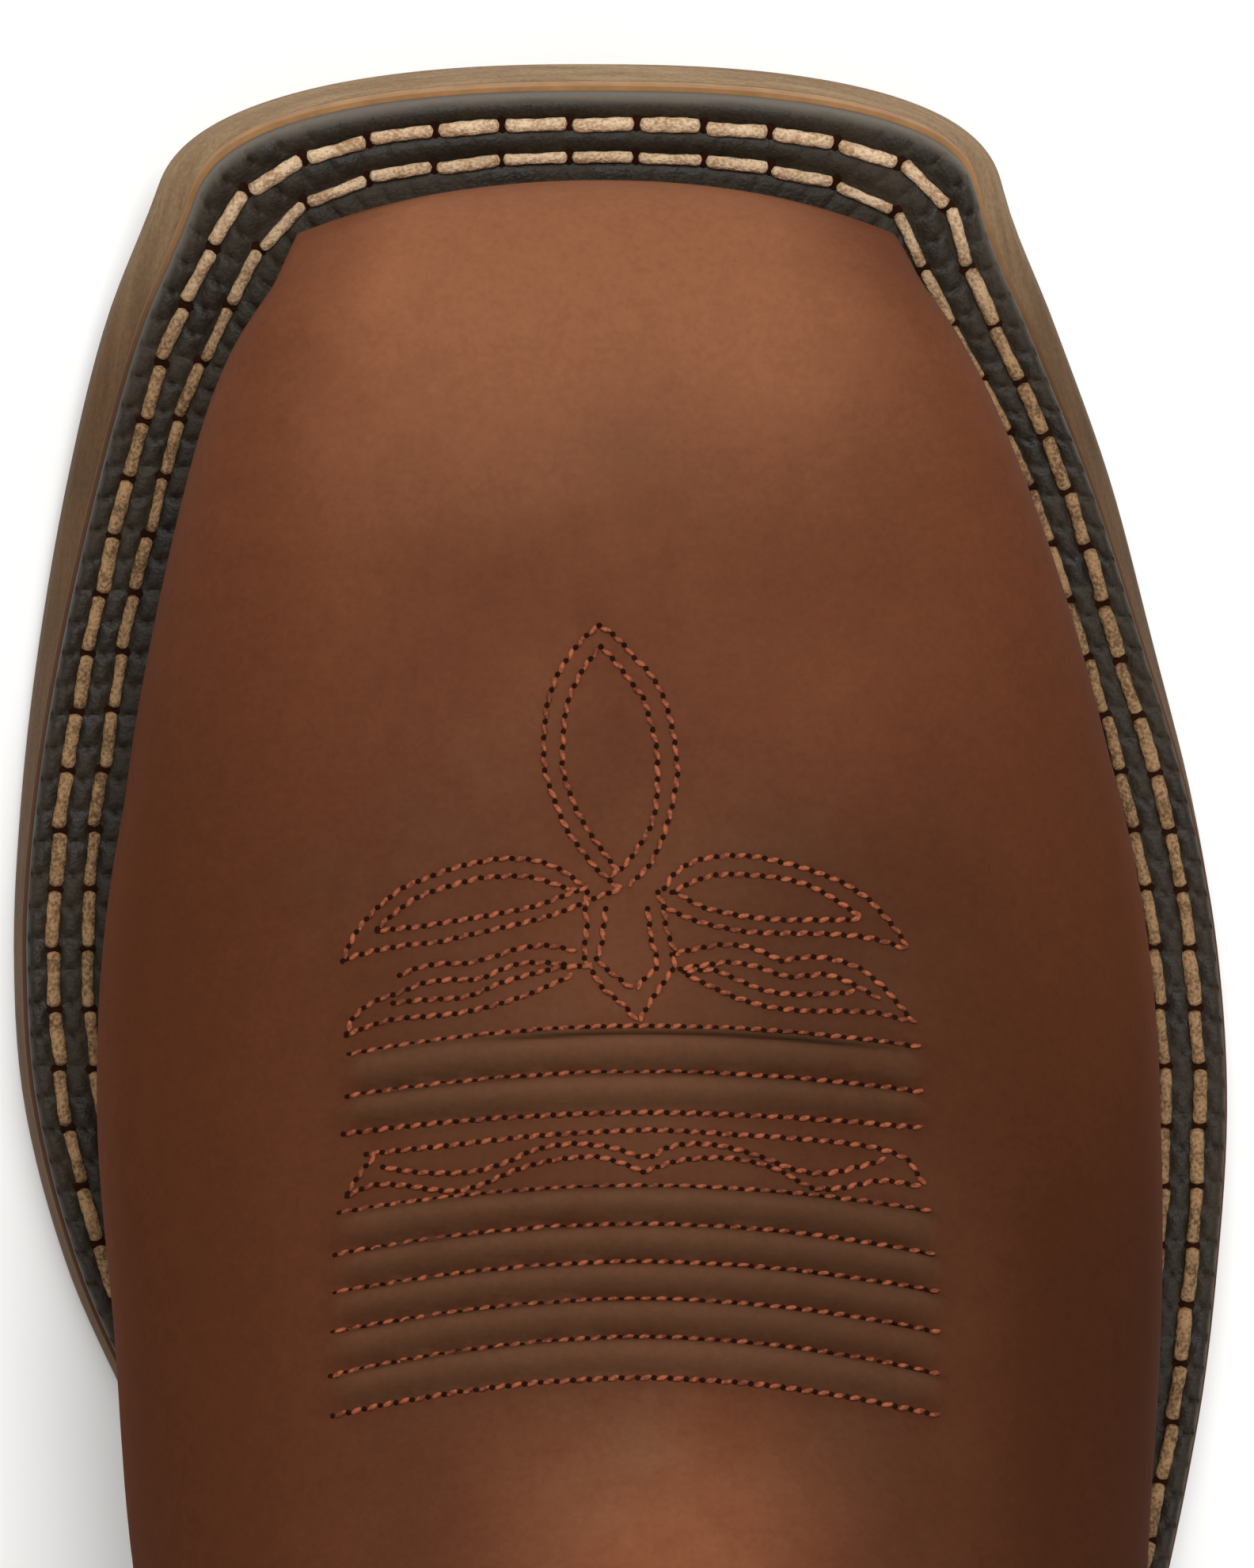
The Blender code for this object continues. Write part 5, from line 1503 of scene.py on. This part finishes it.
base = (leather_rows + normals * COUNTER_GAP)[:first_ring + COUNTER_RINGS]
first = next(r for r, row in enumerate(base) if row[0, 1] / LENGTH + 0.5 > COUNTER_FROM)
counter = grid_sheet("counter_leather", base[first:])
edit(counter, merge(), bpy.ops.mesh.flip_normals)
apply_modifier(counter, "SOLIDIFY", thickness=COUNTER_THICK, offset=1.0, use_even_offset=False,
               use_rim=True)
for vertex in counter.data.vertices:
    seat = float(tread_height(vertex.co.y + LENGTH / 2)) + SEAT
    vertex.co.z = max(vertex.co.z, seat)
share = np.linspace(COUNTER_EDGE[0][0], COUNTER_EDGE[-1][0], COUNTER_STEPS + 1)
outline = [(s * LENGTH - LENGTH / 2, seam_height(s * LENGTH, 0.0)) for s in share]
outline.append((outline[-1][0], outline[0][1]))
cutter_rings = [[(x, y, z) for y, z in outline] for x in (-CUTTER_HALF, CUTTER_HALF)]
cutter = closed_block("counter_cutter", cutter_rings)
apply_modifier(counter, "BOOLEAN", operation="INTERSECT", solver="EXACT", object=cutter)
bpy.data.objects.remove(cutter)
finish_piece(counter, "heel_counter", TRIM, 50)

turns = np.linspace(-math.pi / 2, math.pi / 2, TURNS)
seams = [spaced([on_counter(turn, below) for turn in turns], SEAM_PACE) for below in SEAM_ROWS]
stitches, _ = lay_stitches(seams)
finish_piece(scatter("counter_thread", [fine], fine_faces, stitches), None, THREAD, 60)
print("stitches on the counter:", len(stitches))

# %% [markdown]
# ## Pull straps and collar
#
# A loop of leather at each side of the collar, sewn on outside and inside, is what the wearer
# pulls the boot on by. Each is one closed loop, drawn again at every step across the strap's
# width, with its edges bevelled. A row of thread runs under the collar between the straps.

# %% Pull straps
STRAP_WIDTH, STRAP_THICK, STRAP_DROP = 0.030, 0.0020, 0.055
STRAP_STAND, STRAP_TURN = 0.009, 0.004
STRAP_ACROSS, STRAP_LEG, STRAP_ARCH = 10, 16, 16
STRAP_SEAM, SEAM_TOP, SEAM_LOW = 0.0115, 0.008, 0.004
STRAP_BEVEL, BEVEL_ANGLE = 0.0005, math.radians(60)
LONG_SEAM, CROSS_SEAM = 30, 20  # points that draw a seam up the strap and across it
COLLAR_RING, STRAP_CLEAR = -4, 0.001
outer_rings = shaped_rows[first_ring:]
outer_wall = search_tree(outer_rings)
inner_wall = search_tree(outer_rings - normals[first_ring:] * WALL)


def wall_x(walls, side, y, z):
    """From the middle of the shaft outwards to the wall."""
    return walls.ray_cast(Vector((HEEL_AXIS, y, z)), Vector((side, 0.0, 0.0)))[0].x


def strap_line(side, y, top, thick):
    """Up the outside, over the collar and down the inside, a thickness off the wall."""
    turn = top - STRAP_TURN
    legs = [turn - (STRAP_DROP - STRAP_TURN) * k / STRAP_LEG for k in range(STRAP_LEG + 1)]
    clear = side * (FIT_GAP + thick)
    outside = [(wall_x(outer_wall, side, y, z) + clear, y, z) for z in legs]
    inside = [(wall_x(inner_wall, side, y, z) - clear, y, z) for z in legs]
    middle_x = (outside[0][0] + inside[0][0]) / 2
    reach, rise = outside[0][0] - middle_x, STRAP_TURN + STRAP_STAND + thick
    angles = [math.pi * k / STRAP_ARCH for k in range(1, STRAP_ARCH)]
    arch = [(middle_x + reach * math.cos(a), y, turn + rise * math.sin(a)) for a in angles]
    return outside[::-1] + arch + inside


stitches, strap_middles = [], []
for side, name in ((1, "pull_strap_medial"), (-1, "pull_strap_lateral")):
    collar = [tuple(p) for p in leather_rows[-1] if (p[0] - HEEL_AXIS) * side > 0]
    _, collar_y, collar_z = zip(*sorted(collar, key=lambda p: p[1]))
    middle = (collar_y[0] + collar_y[-1]) / 2
    strap_middles.append(middle)
    loops = []
    for y in middle + np.linspace(-STRAP_WIDTH / 2, STRAP_WIDTH / 2, STRAP_ACROSS + 1):
        top = float(np.interp(y, collar_y, collar_z))
        loops.append(strap_line(side, y, top, STRAP_THICK) + strap_line(side, y, top, 0.0)[::-1])
    strap = closed_block(name + "_leather", loops)
    apply_modifier(strap, "BEVEL", width=STRAP_BEVEL, segments=2, limit_method="ANGLE",
                   angle_limit=BEVEL_ANGLE)
    finish_piece(strap, name, TRIM, 50)
    top = float(np.interp(middle, collar_y, collar_z))
    face, away = side * (FIT_GAP + STRAP_THICK), Vector((side, 0, 0))
    zs = np.linspace(top - SEAM_TOP, top - STRAP_DROP + SEAM_LOW, LONG_SEAM)
    ys = np.linspace(middle - STRAP_SEAM, middle + STRAP_SEAM, CROSS_SEAM)
    seams = ([(ys[0], z) for z in zs], [(ys[-1], z) for z in zs], [(y, zs[-1]) for y in ys])
    for seam in seams:
        line = [(Vector((wall_x(outer_wall, side, y, z) + face, y, z)), away) for y, z in seam]
        stitches += lay_stitches([spaced(line, SEAM_PACE)])[0]
finish_piece(scatter("strap_thread", [fine], fine_faces, stitches), None, THREAD, 60)

hem, facings = shaped_rows[COLLAR_RING], normals[COLLAR_RING]
clear_of_straps = np.abs(hem[:, 1] - strap_middles[0]) > STRAP_WIDTH / 2 + STRAP_CLEAR
stitches = []
for part in (hem[:, 1] < strap_middles[0], hem[:, 1] > strap_middles[0]):
    chosen = sorted(np.flatnonzero(part & clear_of_straps), key=lambda i: hem[i, 0])
    line = [(Vector(hem[i]), Vector(facings[i])) for i in chosen]
    stitches += lay_stitches([spaced(line, SEAM_PACE)])[0]
finish_piece(scatter("collar_thread", [fine], fine_faces, stitches), None, THREAD, 60)
print("straps and collar sewn")

# %% [markdown]
# ## The room
#
# The photograph has an even white ground and a broad soft light, a little stronger from the
# toe. A pale floor, a large lamp over the toe and a dimmer one behind the heel, with an even
# light from all round, give the same. The footbed is the CAD model's own, seen in the collar.

# %% Footbed, floor and light
FLOOR_SIZE, FLOOR_BELOW, WORLD_LIGHT = 8, 0.0002, 0.45
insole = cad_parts["insole"]
insole.data.materials.clear()
insole.data.materials.append(FOOTBED)


def area_lamp(name, place, aim, size, power):
    data = bpy.data.lights.new(name, "AREA")
    data.shape, data.size, data.energy = "DISK", size, power
    lamp = bpy.data.objects.new(name, data)
    lamp.location = place
    lamp.rotation_euler = (Vector(aim) - Vector(place)).to_track_quat("-Z", "Y").to_euler()
    lamp.visible_camera = False
    scene.collection.objects.link(lamp)


bpy.ops.mesh.primitive_plane_add(size=FLOOR_SIZE, location=(0, 0, -FLOOR_BELOW))
floor = bpy.context.object
floor.name = "floor"
paper = plain(srgb(248, 248, 246), srgb(250, 250, 249), 40, 0.0)
floor.data.materials.append(finish("floor_paper", paper))

world = bpy.data.worlds.new("room")
scene.world = world
world.use_nodes = True
background = world.node_tree.nodes["Background"]
background.inputs["Color"].default_value = (1.0, 1.0, 1.0, 1.0)
background.inputs["Strength"].default_value = WORLD_LIGHT
area_lamp("overhead", place=(0.0, -0.60, 1.30), aim=(0, -0.08, 0.03), size=0.8, power=15)
area_lamp("back_fill", place=(-0.2, 0.8, 1.2), aim=(0, 0, 0.1), size=0.8, power=7)
scene.view_settings.view_transform = "Standard"
